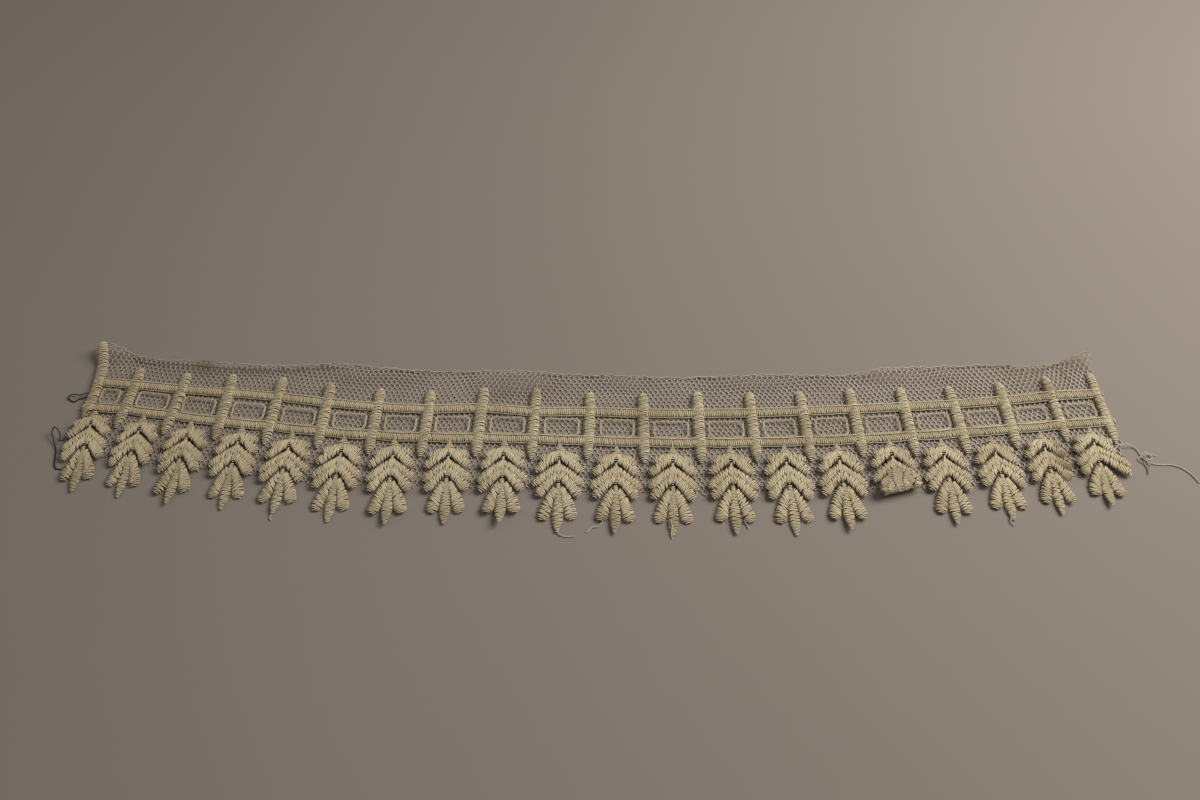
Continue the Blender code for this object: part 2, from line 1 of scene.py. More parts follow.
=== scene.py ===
# %% [markdown]
# # Embroidered lace trim
#
# The real trim is a strip of cotton net. A machine has stitched two long rails on it, pickets that
# cross them, a small corded window between each two pickets, and a hanging row of satin leaves.
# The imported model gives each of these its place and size. This lesson gives them their threads.
#
# The first cell loads that model. Nothing in it is moved: each new piece is made where its solid lies.

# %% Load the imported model
from collections import namedtuple
from math import cos, hypot, pi, sin, sqrt, tau

import bpy
import numpy as np
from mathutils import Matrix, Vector


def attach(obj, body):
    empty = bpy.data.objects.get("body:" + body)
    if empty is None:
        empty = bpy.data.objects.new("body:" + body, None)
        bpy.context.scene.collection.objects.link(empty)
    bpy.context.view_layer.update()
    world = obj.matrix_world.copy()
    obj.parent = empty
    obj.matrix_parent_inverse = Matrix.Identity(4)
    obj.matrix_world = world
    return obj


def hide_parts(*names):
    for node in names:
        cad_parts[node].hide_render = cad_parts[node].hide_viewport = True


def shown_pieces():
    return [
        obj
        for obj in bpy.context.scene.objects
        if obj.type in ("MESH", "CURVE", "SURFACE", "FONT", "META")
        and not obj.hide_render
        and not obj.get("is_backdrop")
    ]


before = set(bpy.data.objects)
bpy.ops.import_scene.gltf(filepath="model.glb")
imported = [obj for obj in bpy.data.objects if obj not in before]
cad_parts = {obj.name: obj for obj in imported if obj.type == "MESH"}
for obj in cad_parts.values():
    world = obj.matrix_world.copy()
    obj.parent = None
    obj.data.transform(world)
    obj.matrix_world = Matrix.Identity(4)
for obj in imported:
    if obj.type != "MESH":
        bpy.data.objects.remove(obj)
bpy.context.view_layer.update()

print("solids loaded:", len(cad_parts))

# %% [markdown]
# ## The sizes of the trim
#
# Embroidery is worked from a chart, so this lesson keeps one too. Each row of PICKETS is one upright
# bar, and each row of BAYS is one window with the leaf under it. All sizes are in millimetres, and MM
# turns them into metres at the end. The rows are uneven because the real strip is old and pulled.

# %% The chart of pickets and bays
MM = 0.001
GAP = 0.3
NET_THICK = 1.0
NET_BELOW_LEAF_TOP = 18.0
RAIL_HALF = 1.3
RAIL_LIFT = 0.1
LOWER_RAIL_SAG = 0.4
PICKET_HALF = 1.65
WINDOW_CORD = 0.9
WINDOW_CORNER = 1.4
WINDOW_OFF_RAIL = 0.45
LEAF_WIDE = 15.5
LEAF_LONG = 33.0

Picket = namedtuple("Picket", "x top foot_x foot upper_rail lower_rail net_top")
PICKETS = [
    Picket(-172.0, 24.6, -169.2, -8.3, 8.9, -2.2, 26.0),
    Picket(-156.8, 14.6, -157.4, -12.0, 7.1, -4.0, 20.2),
    Picket(-140.3, 12.0, -141.2, -14.7, 5.0, -6.6, 18.0),
    Picket(-124.7, 11.3, -124.2, -17.0, 3.5, -9.1, 16.3),
    Picket(-107.4, 10.0, -107.6, -19.1, 1.5, -11.3, 16.0),
    Picket(-90.7, 7.6, -90.5, -20.5, -1.0, -13.5, 16.8),
    Picket(-73.5, 5.0, -73.8, -23.0, -3.0, -15.2, 14.9),
    Picket(-56.6, 4.2, -57.2, -24.0, -4.0, -16.1, 13.6),
    Picket(-38.8, 4.9, -39.6, -24.0, -3.6, -16.4, 13.2),
    Picket(-21.3, 4.5, -21.8, -25.2, -5.2, -16.8, 12.7),
    Picket(-3.4, 3.0, -4.1, -25.2, -5.2, -17.6, 11.6),
    Picket(14.3, 2.7, 14.0, -26.7, -6.0, -18.2, 10.6),
    Picket(32.4, 3.3, 32.0, -26.8, -6.1, -18.5, 10.7),
    Picket(49.8, 3.0, 49.8, -26.2, -5.7, -18.3, 11.3),
    Picket(66.6, 3.4, 66.8, -26.0, -5.0, -17.7, 11.6),
    Picket(83.4, 4.8, 83.6, -24.2, -4.1, -16.9, 11.7),
    Picket(100.6, 5.2, 100.5, -23.9, -3.0, -15.7, 14.5),
    Picket(116.9, 5.9, 117.0, -22.7, -1.9, -14.2, 15.4),
    Picket(134.3, 7.8, 133.5, -20.8, -0.2, -12.5, 16.6),
    Picket(150.2, 9.9, 150.2, -17.8, 1.5, -10.7, 15.6),
    Picket(166.3, 12.4, 165.6, -18.8, 3.2, -9.1, 20.6),
]
Bay = namedtuple(
    "Bay", "window_left window_right window_high leaf_x leaf_top tip_x tip_y leaf_wide tip_rise"
)
BAYS = [
    Bay(-166.4, -160.4, 6.2, -165.9, -5.3, -163.2, -38.5, 14.0, 0.4),
    Bay(-153.8, -143.4, 6.4, -149.1, -7.9, -148.5, -40.6, 13.6, 0.2),
    Bay(-138.0, -127.4, 6.6, -132.9, -10.6, -132.6, -43.5, 14.2, 0.9),
    Bay(-121.0, -110.6, 6.6, -115.9, -12.6, -115.6, -45.3, 14.4, 0.1),
    Bay(-104.1, -93.4, 6.5, -99.1, -15.3, -99.4, -47.0, 15.0, 0.6),
    Bay(-87.0, -76.6, 6.5, -82.1, -17.3, -82.5, -50.0, 15.2, 0.0),
    Bay(-70.0, -60.0, 6.6, -65.9, -18.2, -64.7, -51.4, 15.2, 1.1),
    Bay(-53.5, -42.7, 6.9, -48.2, -19.0, -47.2, -50.7, 15.4, 0.3),
    Bay(-35.6, -24.7, 6.9, -30.6, -18.8, -30.3, -51.4, 15.6, 2.2),
    Bay(-17.9, -7.0, 6.9, -12.9, -20.2, -12.9, -53.8, 15.8, 0.2),
    Bay(0.3, 10.9, 7.1, 5.2, -21.4, 4.4, -54.4, 15.6, 0.7),
    Bay(17.6, 28.6, 6.8, 23.1, -21.4, 21.8, -55.0, 15.5, 0.0),
    Bay(35.4, 46.4, 6.8, 41.2, -21.4, 40.9, -54.6, 15.6, 0.5),
    Bay(53.3, 63.4, 7.1, 58.5, -20.7, 58.8, -55.0, 15.2, 0.1),
    Bay(70.2, 80.4, 7.2, 75.4, -20.2, 75.3, -53.5, 15.2, 1.2),
    Bay(87.0, 97.4, 7.1, 92.2, -19.0, 92.3, -51.8, 14.8, 0.0),
    Bay(103.9, 114.0, 6.9, 109.1, -18.5, 107.6, -51.1, 15.0, 0.8),
    Bay(120.6, 130.6, 6.5, 125.3, -17.3, 125.0, -49.3, 14.8, 0.3),
    Bay(137.0, 146.6, 6.4, 141.8, -15.2, 140.3, -47.3, 14.0, 0.6),
    Bay(153.6, 163.0, 6.4, 158.2, -13.2, 156.2, -44.4, 14.8, 1.6),
]
print("pickets:", len(PICKETS), "bays:", len(BAYS))

# %% [markdown]
# ## Where the cloth lies
#
# The strip is bent and puckered, so every thread needs to know how high the net is under it. A few
# smooth humps, added up, give that height anywhere. NumPy works on all the points of a mesh at once,
# which matters here, because the finished trim has hundreds of thousands of them.

# %% The puckers and the cut ends of the net
Pucker = namedtuple("Pucker", "x y reach_x reach_y lift")
PUCKERS = [
    Pucker(-172.0, 24.0, 12.0, 9.0, 2.2),
    Pucker(-127.0, 16.5, 36.0, 6.0, 0.9),
    Pucker(-30.0, 9.0, 20.0, 9.0, 0.9),
    Pucker(95.0, 14.0, 14.0, 7.0, 1.2),
    Pucker(150.0, 8.0, 14.0, 13.0, 0.9),
    Pucker(169.0, 21.5, 14.0, 9.0, 2.4),
]
HEADING_FLAT = 9.5
HEADING_WAVE = 0.6
HEADING_WAVE_LONG = 47.0
HEADING_WAVE_BEND = 23.0
LEFT_END = [(-24.0, -170.4), (-9.0, -171.3), (9.0, -171.8), (18.0, -172.8), (26.0, -174.2)]
RIGHT_END = [(-32.0, 164.8), (-19.0, 167.8), (0.0, 168.4), (12.0, 168.6), (22.0, 169.6)]


def uneven(*keys):
    """A fixed number from -1 to 1 for each set of keys, for hand-worked unevenness."""
    mixed = sin(sum(key * weight for key, weight in zip(keys, (12.99, 78.23, 37.72)))) * 43758.55
    return 2.0 * (mixed - np.floor(mixed)) - 1.0


def smooth_through(places, values, x):
    """The values at x on a smooth curve through a row of places, straight on past both ends."""
    places, values, x = np.asarray(places), np.asarray(values), np.asarray(x, float)
    last = len(places) - 2
    k = np.clip(np.searchsorted(places, x, side="right") - 1, 0, last)
    before, after = np.maximum(k - 1, 0), np.minimum(k + 2, last + 1)
    span = places[k + 1] - places[k]
    slope_in = (values[k + 1] - values[before]) / (places[k + 1] - places[before]) * span
    slope_out = (values[after] - values[k]) / (places[after] - places[k]) * span
    t = (x - places[k]) / span
    inside = np.clip(t, 0, 1)
    rise = inside * inside * (3 - 2 * inside)
    curve = values[k] * (1 - rise) + values[k + 1] * rise
    curve = curve + slope_in * inside * (1 - inside) ** 2 + slope_out * inside**2 * (inside - 1)
    return curve + slope_in * np.minimum(t, 0) + slope_out * np.maximum(t - 1, 0)


def at_pickets(column, x):
    return smooth_through([p.x for p in PICKETS], [getattr(p, column) for p in PICKETS], x)


def net_bottom(x):
    return smooth_through([b.leaf_x for b in BAYS], [b.leaf_top for b in BAYS], x) - NET_BELOW_LEAF_TOP


def upper_rail(x):
    return at_pickets("upper_rail", x)


def lower_rail(x):
    """The lower rail's centre, which sags between its pickets."""
    places = np.array([p.x for p in PICKETS])
    k = np.clip(np.searchsorted(places, x, side="right") - 1, 0, len(places) - 2)
    t = np.clip((x - places[k]) / (places[k + 1] - places[k]), 0, 1)
    return at_pickets("lower_rail", x) - LOWER_RAIL_SAG * np.sin(pi * t)


def lie(x, y):
    """How far the net's underside is lifted off the table."""
    x, y = np.asarray(x, float), np.asarray(y, float)
    lift = np.zeros(np.broadcast(x, y).shape)
    for pucker in PUCKERS:
        away = np.hypot((x - pucker.x) / pucker.reach_x, (y - pucker.y) / pucker.reach_y)
        lift = lift + pucker.lift * (0.5 + 0.5 * np.cos(pi * np.minimum(away, 1)))
    above = (y - at_pickets("upper_rail", x) - HEADING_FLAT) / (HEADING_FLAT / 2)
    swell = 0.5 + 0.5 * np.sin(2 * pi * x / HEADING_WAVE_LONG + np.sin(x / HEADING_WAVE_BEND))
    return lift + HEADING_WAVE * swell * np.clip(above, 0, 1)


def seat(x, y):
    """The height of what lies on the net."""
    return lie(x, y) + NET_THICK + GAP


print("net lifts most at its right corner:", round(float(lie(168.0, 21.0)), 2), "mm")

# %% [markdown]
# ## The camera
#
# The photo looks down at about 47 degrees from in front of the trim. A camera that aims at a point can
# be turned by hand, or by the direction from it to that point. The second way is exact, so it is used.
# It aims at the height of the stitches and not of the table, because they are what the photo shows.

# %% Place the camera
SIGHT_LEVEL = 0.0012
CAMERA_AT = Vector((0.0, -0.24525, 0.263 + SIGHT_LEVEL))
CAMERA_AIM = Vector((0.0, 0.0, SIGHT_LEVEL))
CAMERA_LENS = 32.46
CAMERA_SENSOR = 36.0
camera = bpy.data.objects.new("camera", bpy.data.cameras.new("camera"))
camera.data.lens = CAMERA_LENS
camera.data.sensor_width = CAMERA_SENSOR
camera.location = CAMERA_AT
camera.rotation_euler = (CAMERA_AIM - CAMERA_AT).to_track_quat("-Z", "Y").to_euler()
bpy.context.scene.collection.objects.link(camera)
bpy.context.scene.camera = camera
print("camera height:", round(CAMERA_AT.z * 1000, 1), "mm")

# %% [markdown]
# ## Cotton, by age and light
#
# All the threads are cotton, and what differs is how deep a thread lies, shown as painted shade, and
# how stained it is. Painted pictures could show that, but a recipe of nodes works at any distance.
# Each mesh carries three numbers at every point: the shade crown is 1 on top of a stitch and 0 at its
# feet and paints shade low between stitches, tone is one random number for each stitch, and age says how
# brown the cotton has gone there. The recipe mixes by them.

# %% A recipe for cotton thread
FIBRE_SCALE = 1900.0
BLOTCH_SCALE = 70.0
SHADE_CROWN_SHARE = 0.50
TONE_SHARE = 0.42
SPECKLE_SHARE = 0.32
SPECKLE_GAIN = 3.2
SPECKLE_CUT = 1.1
BLOTCH_MIDDLE = 0.42
FIBRE_BUMP = 0.6
FIBRE_HIGH = 0.00005
COTTON_ROUGH = 0.82
COTTON_SHEEN = 0.15
COTTON_SHINE = 0.25


def link_mix(tree, share, one, two):
    """A node that mixes two colours, each given as a colour or as another node's output."""
    mix = tree.nodes.new("ShaderNodeMix")
    mix.data_type = "RGBA"
    for socket, source in ((0, share), (6, one), (7, two)):
        if isinstance(source, bpy.types.NodeSocket):
            tree.links.new(source, mix.inputs[socket])
        else:
            mix.inputs[socket].default_value = source if socket == 0 else (*source, 1.0)
    return mix.outputs[2]


def link_math(tree, operation, one, two):
    """A node that works out one number, kept from 0 to 1 unless it multiplies."""
    node = tree.nodes.new("ShaderNodeMath")
    node.operation = operation
    for socket, source in enumerate((one, two)):
        if isinstance(source, bpy.types.NodeSocket):
            tree.links.new(source, node.inputs[socket])
        else:
            node.inputs[socket].default_value = source
    node.use_clamp = operation != "MULTIPLY"
    return node.outputs[0]


def cotton(name, deep, pale, stained):
    """Cotton thread: painted shade deep between stitches, pale on their crowns, browner with age."""
    material = bpy.data.materials.new(name)
    material.use_nodes = True
    tree = material.node_tree
    shader = tree.nodes["Principled BSDF"]
    shader.inputs["Roughness"].default_value = COTTON_ROUGH
    shader.inputs["Sheen Weight"].default_value = COTTON_SHEEN
    shader.inputs["Specular IOR Level"].default_value = COTTON_SHINE
    place = tree.nodes.new("ShaderNodeTexCoord").outputs["Object"]
    reads = {}
    for column in ("shade_crown", "tone", "age"):
        node = tree.nodes.new("ShaderNodeAttribute")
        node.attribute_name = column
        reads[column] = node.outputs["Fac"]
    noises = {}
    for label, scale, detail in (("fibre", FIBRE_SCALE, 2.0), ("blotch", BLOTCH_SCALE, 4.0)):
        node = tree.nodes.new("ShaderNodeTexNoise")
        node.inputs["Scale"].default_value = scale
        node.inputs["Detail"].default_value = detail
        tree.links.new(place, node.inputs["Vector"])
        noises[label] = node.outputs["Fac"]
    # painted shade: the low parts of each stitch are mixed towards the first colour
    height = link_math(tree, "MULTIPLY", reads["shade_crown"], SHADE_CROWN_SHARE)
    shade_and_tone = link_math(tree, "ADD", height, link_math(tree, "MULTIPLY", reads["tone"], TONE_SHARE))
    grain = link_math(tree, "MULTIPLY", noises["fibre"], SPECKLE_GAIN)
    speckle = link_math(tree, "SUBTRACT", grain, SPECKLE_CUT)
    shade_and_tone = link_math(tree, "ADD", shade_and_tone, link_math(tree, "MULTIPLY", speckle, SPECKLE_SHARE))
    fresh = link_mix(tree, shade_and_tone, deep, pale)
    blotch = link_math(tree, "SUBTRACT", noises["blotch"], BLOTCH_MIDDLE)
    brown = link_math(tree, "ADD", reads["age"], blotch)
    tree.links.new(link_mix(tree, brown, fresh, stained), shader.inputs["Base Color"])
    bump = tree.nodes.new("ShaderNodeBump")
    bump.inputs["Strength"].default_value = FIBRE_BUMP
    bump.inputs["Distance"].default_value = FIBRE_HIGH
    tree.links.new(noises["fibre"], bump.inputs["Height"])
    tree.links.new(bump.outputs["Normal"], shader.inputs["Normal"])
    return material


# The first colour of each recipe is painted shade at the stitches' feet; the rails take a darker one for
# deeper painted shade between their stitches
leaf_cotton = cotton("leaf_cotton", (0.37, 0.30, 0.19), (0.88, 0.77, 0.535), (0.44, 0.32, 0.17))
rail_cotton = cotton("rail_cotton", (0.17, 0.13, 0.07), (0.85, 0.745, 0.51), (0.44, 0.31, 0.16))
# a paler copy of the satin cotton, as painted light: the pickets are the rails' thread, made lighter where
# light falls on them
lit_picket_cotton = cotton("lit_picket_cotton", (0.37, 0.30, 0.19), (0.95, 0.84, 0.60), (0.46, 0.33, 0.18))
# the padding is dark brown as painted shade, so the gaps between stitches and the slits read dark
shade_padding = cotton("shade_padding_cotton", (0.12, 0.09, 0.05), (0.27, 0.21, 0.13), (0.14, 0.10, 0.055))
net_cotton = cotton("net_cotton", (0.34, 0.29, 0.23), (0.68, 0.60, 0.51), (0.40, 0.28, 0.17))
cord_cotton = cotton("cord_cotton", (0.30, 0.25, 0.16), (0.84, 0.75, 0.55), (0.46, 0.34, 0.20))
brown_cotton = cotton("brown_cotton", (0.16, 0.12, 0.075), (0.34, 0.27, 0.18), (0.20, 0.12, 0.06))
pale_cotton = cotton("pale_cotton", (0.50, 0.45, 0.37), (0.78, 0.73, 0.62), (0.55, 0.46, 0.34))
dark_cotton = cotton("dark_cotton", (0.008, 0.009, 0.014), (0.035, 0.036, 0.048), (0.02, 0.02, 0.02))
print("cotton recipes:", len([m for m in bpy.data.materials if "cotton" in m.name]))

# %% [markdown]
# ## Trees that stitch and lay thread
#
# A satin stitch is a short thread that arches over the padding from one side of a band to the other,
# and the next lies right beside it. Making thousands by hand is hopeless, and an array can't follow a
# bent band. Geometry Nodes can: one tree takes guide lines, puts a point every stitch along them, and
# sets one small arch on each point, turned to the line and as wide as the band is there. A second
# tree sweeps a small round section along a line, for thread that is laid and not stitched. A third
# sweeps a flattened section as wide as the band, for the padding that fills it under the stitches.
#
# Each guide is a run of points. Two columns ride along with them: half, the band's half width, and
# slant, how far the stitches lean.

# %% Tools to build a tree
def new_tree(name, sizes):
    """A tree with one mesh in, one mesh out, and named sizes."""
    tree = bpy.data.node_groups.new(name, "GeometryNodeTree")
    tree.interface.new_socket("Geometry", in_out="INPUT", socket_type="NodeSocketGeometry")
    for label, kind in sizes:
        tree.interface.new_socket(label, in_out="INPUT", socket_type=f"NodeSocket{kind}")
    tree.interface.new_socket("Geometry", in_out="OUTPUT", socket_type="NodeSocketGeometry")
    return tree


def add(tree, kind, inputs, **settings):
    """One node with its settings, its inputs linked from outputs or set to values."""
    node = tree.nodes.new(kind)
    for setting, value in settings.items():
        setattr(node, setting, value)
    for socket, source in inputs.items():
        if isinstance(source, bpy.types.NodeSocket):
            tree.links.new(source, node.inputs[socket])
        else:
            node.inputs[socket].default_value = source
    return node.outputs


def finish_tree(tree, shape, material):
    """The last nodes: real geometry, smooth shading and the material."""
    real = add(tree, "GeometryNodeRealizeInstances", {0: shape})[0]
    smooth = add(tree, "GeometryNodeSetShadeSmooth", {0: real})[0]
    done = add(tree, "GeometryNodeSetMaterial", {"Geometry": smooth, "Material": material})[0]
    tree.links.new(done, tree.nodes.new("NodeGroupOutput").inputs[0])


print("tree tools:", new_tree.__name__, add.__name__, finish_tree.__name__)

# %% The tree of satin stitches
ARCH_POINTS = 7
ARCH_SIDES = 4
ARCH_FOOT = 0.35
ARCH_THREAD = 0.2
ARCH_FLAT = 0.60
RISE_LEAST = 0.92
RISE_MOST = 1.06


def make_stitch_tree():
    tree = new_tree(
        "satin_stitches",
        [("Pitch", "Float"), ("Thread", "Float"), ("Rise", "Float"), ("Wander", "Float"),
         ("Seed", "Int"), ("Material", "Material")],
    )
    given = tree.nodes.new("NodeGroupInput").outputs
    arc = add(
        tree, "GeometryNodeCurveArc",
        {"Resolution": ARCH_POINTS, "Radius": 1.0, "Start Angle": -ARCH_FOOT,
         "Sweep Angle": pi + 2 * ARCH_FOOT},
    )[0]
    spot = add(tree, "ShaderNodeSeparateXYZ", {0: add(tree, "GeometryNodeInputPosition", {})[0]})
    over = add(tree, "ShaderNodeMath", {0: spot[1], 1: 0.0}, operation="MAXIMUM")[0]
    over = add(tree, "ShaderNodeMath", {0: over, 1: ARCH_FLAT}, operation="POWER")[0]
    under = add(tree, "ShaderNodeMath", {0: spot[1], 1: 0.0}, operation="MINIMUM")[0]
    level = add(tree, "ShaderNodeMath", {0: over, 1: under}, operation="ADD")[0]
    arc = add(
        tree, "GeometryNodeSetPosition",
        {"Geometry": arc, "Position": add(tree, "ShaderNodeCombineXYZ", {0: spot[0], 1: level})[0]},
    )[0]
    section = add(
        tree, "GeometryNodeCurvePrimitiveCircle", {"Resolution": ARCH_SIDES, "Radius": ARCH_THREAD}
    )[0]
    tube = add(
        tree, "GeometryNodeCurveToMesh", {"Curve": arc, "Profile Curve": section, "Fill Caps": True}
    )[0]
    arch = add(tree, "GeometryNodeTransform", {"Geometry": tube, "Rotation": (pi / 2, 0, pi / 2)})[0]
    # the arch's own height, kept to paint shade at the feet of each stitch
    where = add(tree, "GeometryNodeInputPosition", {})[0]
    height = add(tree, "ShaderNodeSeparateXYZ", {0: where})[2]
    arch = add(
        tree, "GeometryNodeStoreNamedAttribute", {"Geometry": arch, "Name": "shade_crown", "Value": height},
        data_type="FLOAT", domain="POINT",
    )[0]
    line = add(tree, "GeometryNodeMeshToCurve", {0: given["Geometry"]})[0]
    spots = add(
        tree, "GeometryNodeResampleCurve", {"Curve": line, "Length": given["Pitch"]}, mode="LENGTH"
    )[0]
    half = add(tree, "GeometryNodeInputNamedAttribute", {"Name": "half"}, data_type="FLOAT")[0]
    slant = add(tree, "GeometryNodeInputNamedAttribute", {"Name": "slant"}, data_type="FLOAT")[0]
    along = add(tree, "ShaderNodeSeparateXYZ", {0: add(tree, "GeometryNodeInputTangent", {})[0]})
    heading = add(tree, "ShaderNodeMath", {0: along[1], 1: along[0]}, operation="ARCTAN2")[0]
    wander = add(tree, "FunctionNodeRandomValue", {2: -1.0, 3: 1.0, 8: given["Seed"]})[1]
    wander = add(tree, "ShaderNodeMath", {0: wander, 1: given["Wander"]}, operation="MULTIPLY")[0]
    turn = add(tree, "ShaderNodeMath", {0: heading, 1: slant}, operation="ADD")[0]
    turn = add(tree, "ShaderNodeMath", {0: turn, 1: wander}, operation="ADD")[0]
    lean = add(tree, "ShaderNodeMath", {0: slant}, operation="COSINE")[0]
    reach = add(tree, "ShaderNodeMath", {0: half, 1: lean}, operation="DIVIDE")[0]
    swell = add(tree, "FunctionNodeRandomValue", {2: RISE_LEAST, 3: RISE_MOST, 8: given["Seed"]})[1]
    rise = add(tree, "ShaderNodeMath", {0: half, 1: given["Rise"]}, operation="MULTIPLY")[0]
    rise = add(tree, "ShaderNodeMath", {0: rise, 1: swell}, operation="MULTIPLY")[0]
    thick = add(tree, "ShaderNodeMath", {0: given["Thread"], 1: ARCH_THREAD}, operation="DIVIDE")[0]
    stitches = add(
        tree, "GeometryNodeInstanceOnPoints",
        {"Points": spots, "Instance": arch,
         "Rotation": add(tree, "FunctionNodeEulerToRotation",
                         {0: add(tree, "ShaderNodeCombineXYZ", {2: turn})[0]})[0],
         "Scale": add(tree, "ShaderNodeCombineXYZ", {0: thick, 1: reach, 2: rise})[0]},
    )[0]
    tone = add(tree, "FunctionNodeRandomValue", {2: 0.0, 3: 1.0, 8: given["Seed"]})[1]
    stitches = add(
        tree, "GeometryNodeStoreNamedAttribute", {"Geometry": stitches, "Name": "tone", "Value": tone},
        data_type="FLOAT", domain="INSTANCE",
    )[0]
    finish_tree(tree, stitches, given["Material"])
    return tree


stitch_tree = make_stitch_tree()
print("nodes in the tree of satin stitches:", len(stitch_tree.nodes))

# %% The tree of laid threads
# laid threads carry one even level of the painted shade
THREAD_SHADE_CROWN = 0.9
TONE_LEAST = 0.35
TONE_MOST = 0.75


def make_thread_tree():
    tree = new_tree("laid_threads", [("Radius", "Float"), ("Sides", "Int"), ("Material", "Material")])
    given = tree.nodes.new("NodeGroupInput").outputs
    line = add(tree, "GeometryNodeMeshToCurve", {0: given["Geometry"]})[0]
    section = add(
        tree, "GeometryNodeCurvePrimitiveCircle",
        {"Resolution": given["Sides"], "Radius": given["Radius"]},
    )[0]
    tube = add(
        tree, "GeometryNodeCurveToMesh", {"Curve": line, "Profile Curve": section, "Fill Caps": True}
    )[0]
    tone = add(tree, "FunctionNodeRandomValue", {2: TONE_LEAST, 3: TONE_MOST, 8: 1})[1]
    for column, value in (("shade_crown", THREAD_SHADE_CROWN), ("tone", tone)):
        tube = add(
            tree, "GeometryNodeStoreNamedAttribute", {"Geometry": tube, "Name": column, "Value": value},
            data_type="FLOAT", domain="POINT",
        )[0]
    finish_tree(tree, tube, given["Material"])
    return tree


thread_tree = make_thread_tree()
print("nodes in the tree of laid threads:", len(thread_tree.nodes))

# %% The tree of padding
PADDING_SIDES = 8


def make_padding_tree():
    tree = new_tree(
        "shade_padding",
        [("Step", "Float"), ("Share", "Float"), ("Flat", "Float"), ("Material", "Material")],
    )
    given = tree.nodes.new("NodeGroupInput").outputs
    line = add(tree, "GeometryNodeMeshToCurve", {0: given["Geometry"]})[0]
    line = add(
        tree, "GeometryNodeResampleCurve", {"Curve": line, "Length": given["Step"]}, mode="LENGTH"
    )[0]
    half = add(tree, "GeometryNodeInputNamedAttribute", {"Name": "half"}, data_type="FLOAT")[0]
    wide = add(tree, "ShaderNodeMath", {0: half, 1: given["Share"]}, operation="MULTIPLY")[0]
    line = add(tree, "GeometryNodeSetCurveNormal", {0: line}, mode="Z_UP")[0]
    ring = add(
        tree, "GeometryNodeCurvePrimitiveCircle", {"Resolution": PADDING_SIDES, "Radius": 1.0}
    )[0]
    flat = add(tree, "ShaderNodeCombineXYZ", {0: 1.0, 1: given["Flat"], 2: 1.0})[0]
    section = add(tree, "GeometryNodeTransform", {"Geometry": ring, "Scale": flat})[0]
    tube = add(
        tree, "GeometryNodeCurveToMesh",
        {"Curve": line, "Profile Curve": section, "Scale": wide, "Fill Caps": True},
    )[0]
    finish_tree(tree, tube, given["Material"])
    return tree


padding_tree = make_padding_tree()
print("nodes in the tree of padding:", len(padding_tree.nodes))

# %% [markdown]
# ## From guides to plain meshes
#
# A modifier's result is only there while it is evaluated. The next tools run a tree on its guides,
# keep what it makes as a plain mesh, and throw the guides away. The last one names the finished
# piece, works out its age column from a chart of stains, and hands it to the frame in place of the
# solid.

# %% Run a tree on guides
Guide = namedtuple("Guide", "line half slant closed")
PADDING_STEP = 0.8
PADDING_SHARE = 0.86
PADDING_RISE = 0.8


def straight_guide(points, half=1.0, slant=0.0, closed=False):
    return Guide(np.asarray(points, float), half, slant, closed)


def grow(tree, guides, **sizes):
    """Runs a tree on a list of guides, and gives what it makes as a plain mesh."""
    points, edges, halves, slants = [], [], [], []
    for guide in guides:
        first, count = len(points), len(guide.line)
        points += [tuple(p) for p in guide.line]
        edges += [(first + i, first + i + 1) for i in range(count - 1)]
        if guide.closed:
            edges.append((first + count - 1, first))
        halves += list(np.broadcast_to(guide.half, count))
        slants += list(np.broadcast_to(guide.slant, count))
    mesh = bpy.data.meshes.new("guides")
    mesh.from_pydata(points, edges, [])
    for column, values in (("half", halves), ("slant", slants)):
        mesh.attributes.new(column, "FLOAT", "POINT").data.foreach_set("value", values)
    holder = bpy.data.objects.new("guides", mesh)
    bpy.context.scene.collection.objects.link(holder)
    modifier = holder.modifiers.new("tree", "NODES")
    modifier.node_group = tree
    for socket in tree.interface.items_tree:
        if socket.in_out == "INPUT" and socket.name in sizes:
            modifier[socket.identifier] = sizes[socket.name]
    bpy.context.view_layer.update()
    made = bpy.data.meshes.new_from_object(holder.evaluated_get(bpy.context.evaluated_depsgraph_get()))
    holder.modifiers.clear()
    bpy.data.objects.remove(holder)
    bpy.data.meshes.remove(mesh)
    return made


def points_of(mesh):
    flat = np.empty(len(mesh.vertices) * 3, np.float32)
    mesh.vertices.foreach_get("co", flat)
    return flat.reshape(-1, 3).astype(float)


def set_points(mesh, points):
    mesh.vertices.foreach_set("co", np.asarray(points, np.float32).ravel())
    mesh.update()
    return mesh


def lift_on_net(mesh, extra=0.0):
    """Moves a mesh that was made flat up to what lies under it."""
    points = points_of(mesh)
    points[:, 2] += seat(points[:, 0], points[:, 1]) + extra
    return set_points(mesh, points)


def padding_of(guides, rise):
    """The filling under bands of stitches: a flattened tube along each guide, coloured dark as painted
    shade.
    """
    return grow(
        padding_tree, guides,
        Step=PADDING_STEP, Share=PADDING_SHARE, Flat=rise * PADDING_RISE, Material=shade_padding,
    )


print("heights of the net's upper side, in mm:", seat(np.array([-160.0, 0.0, 160.0]), 5.0).round(2))

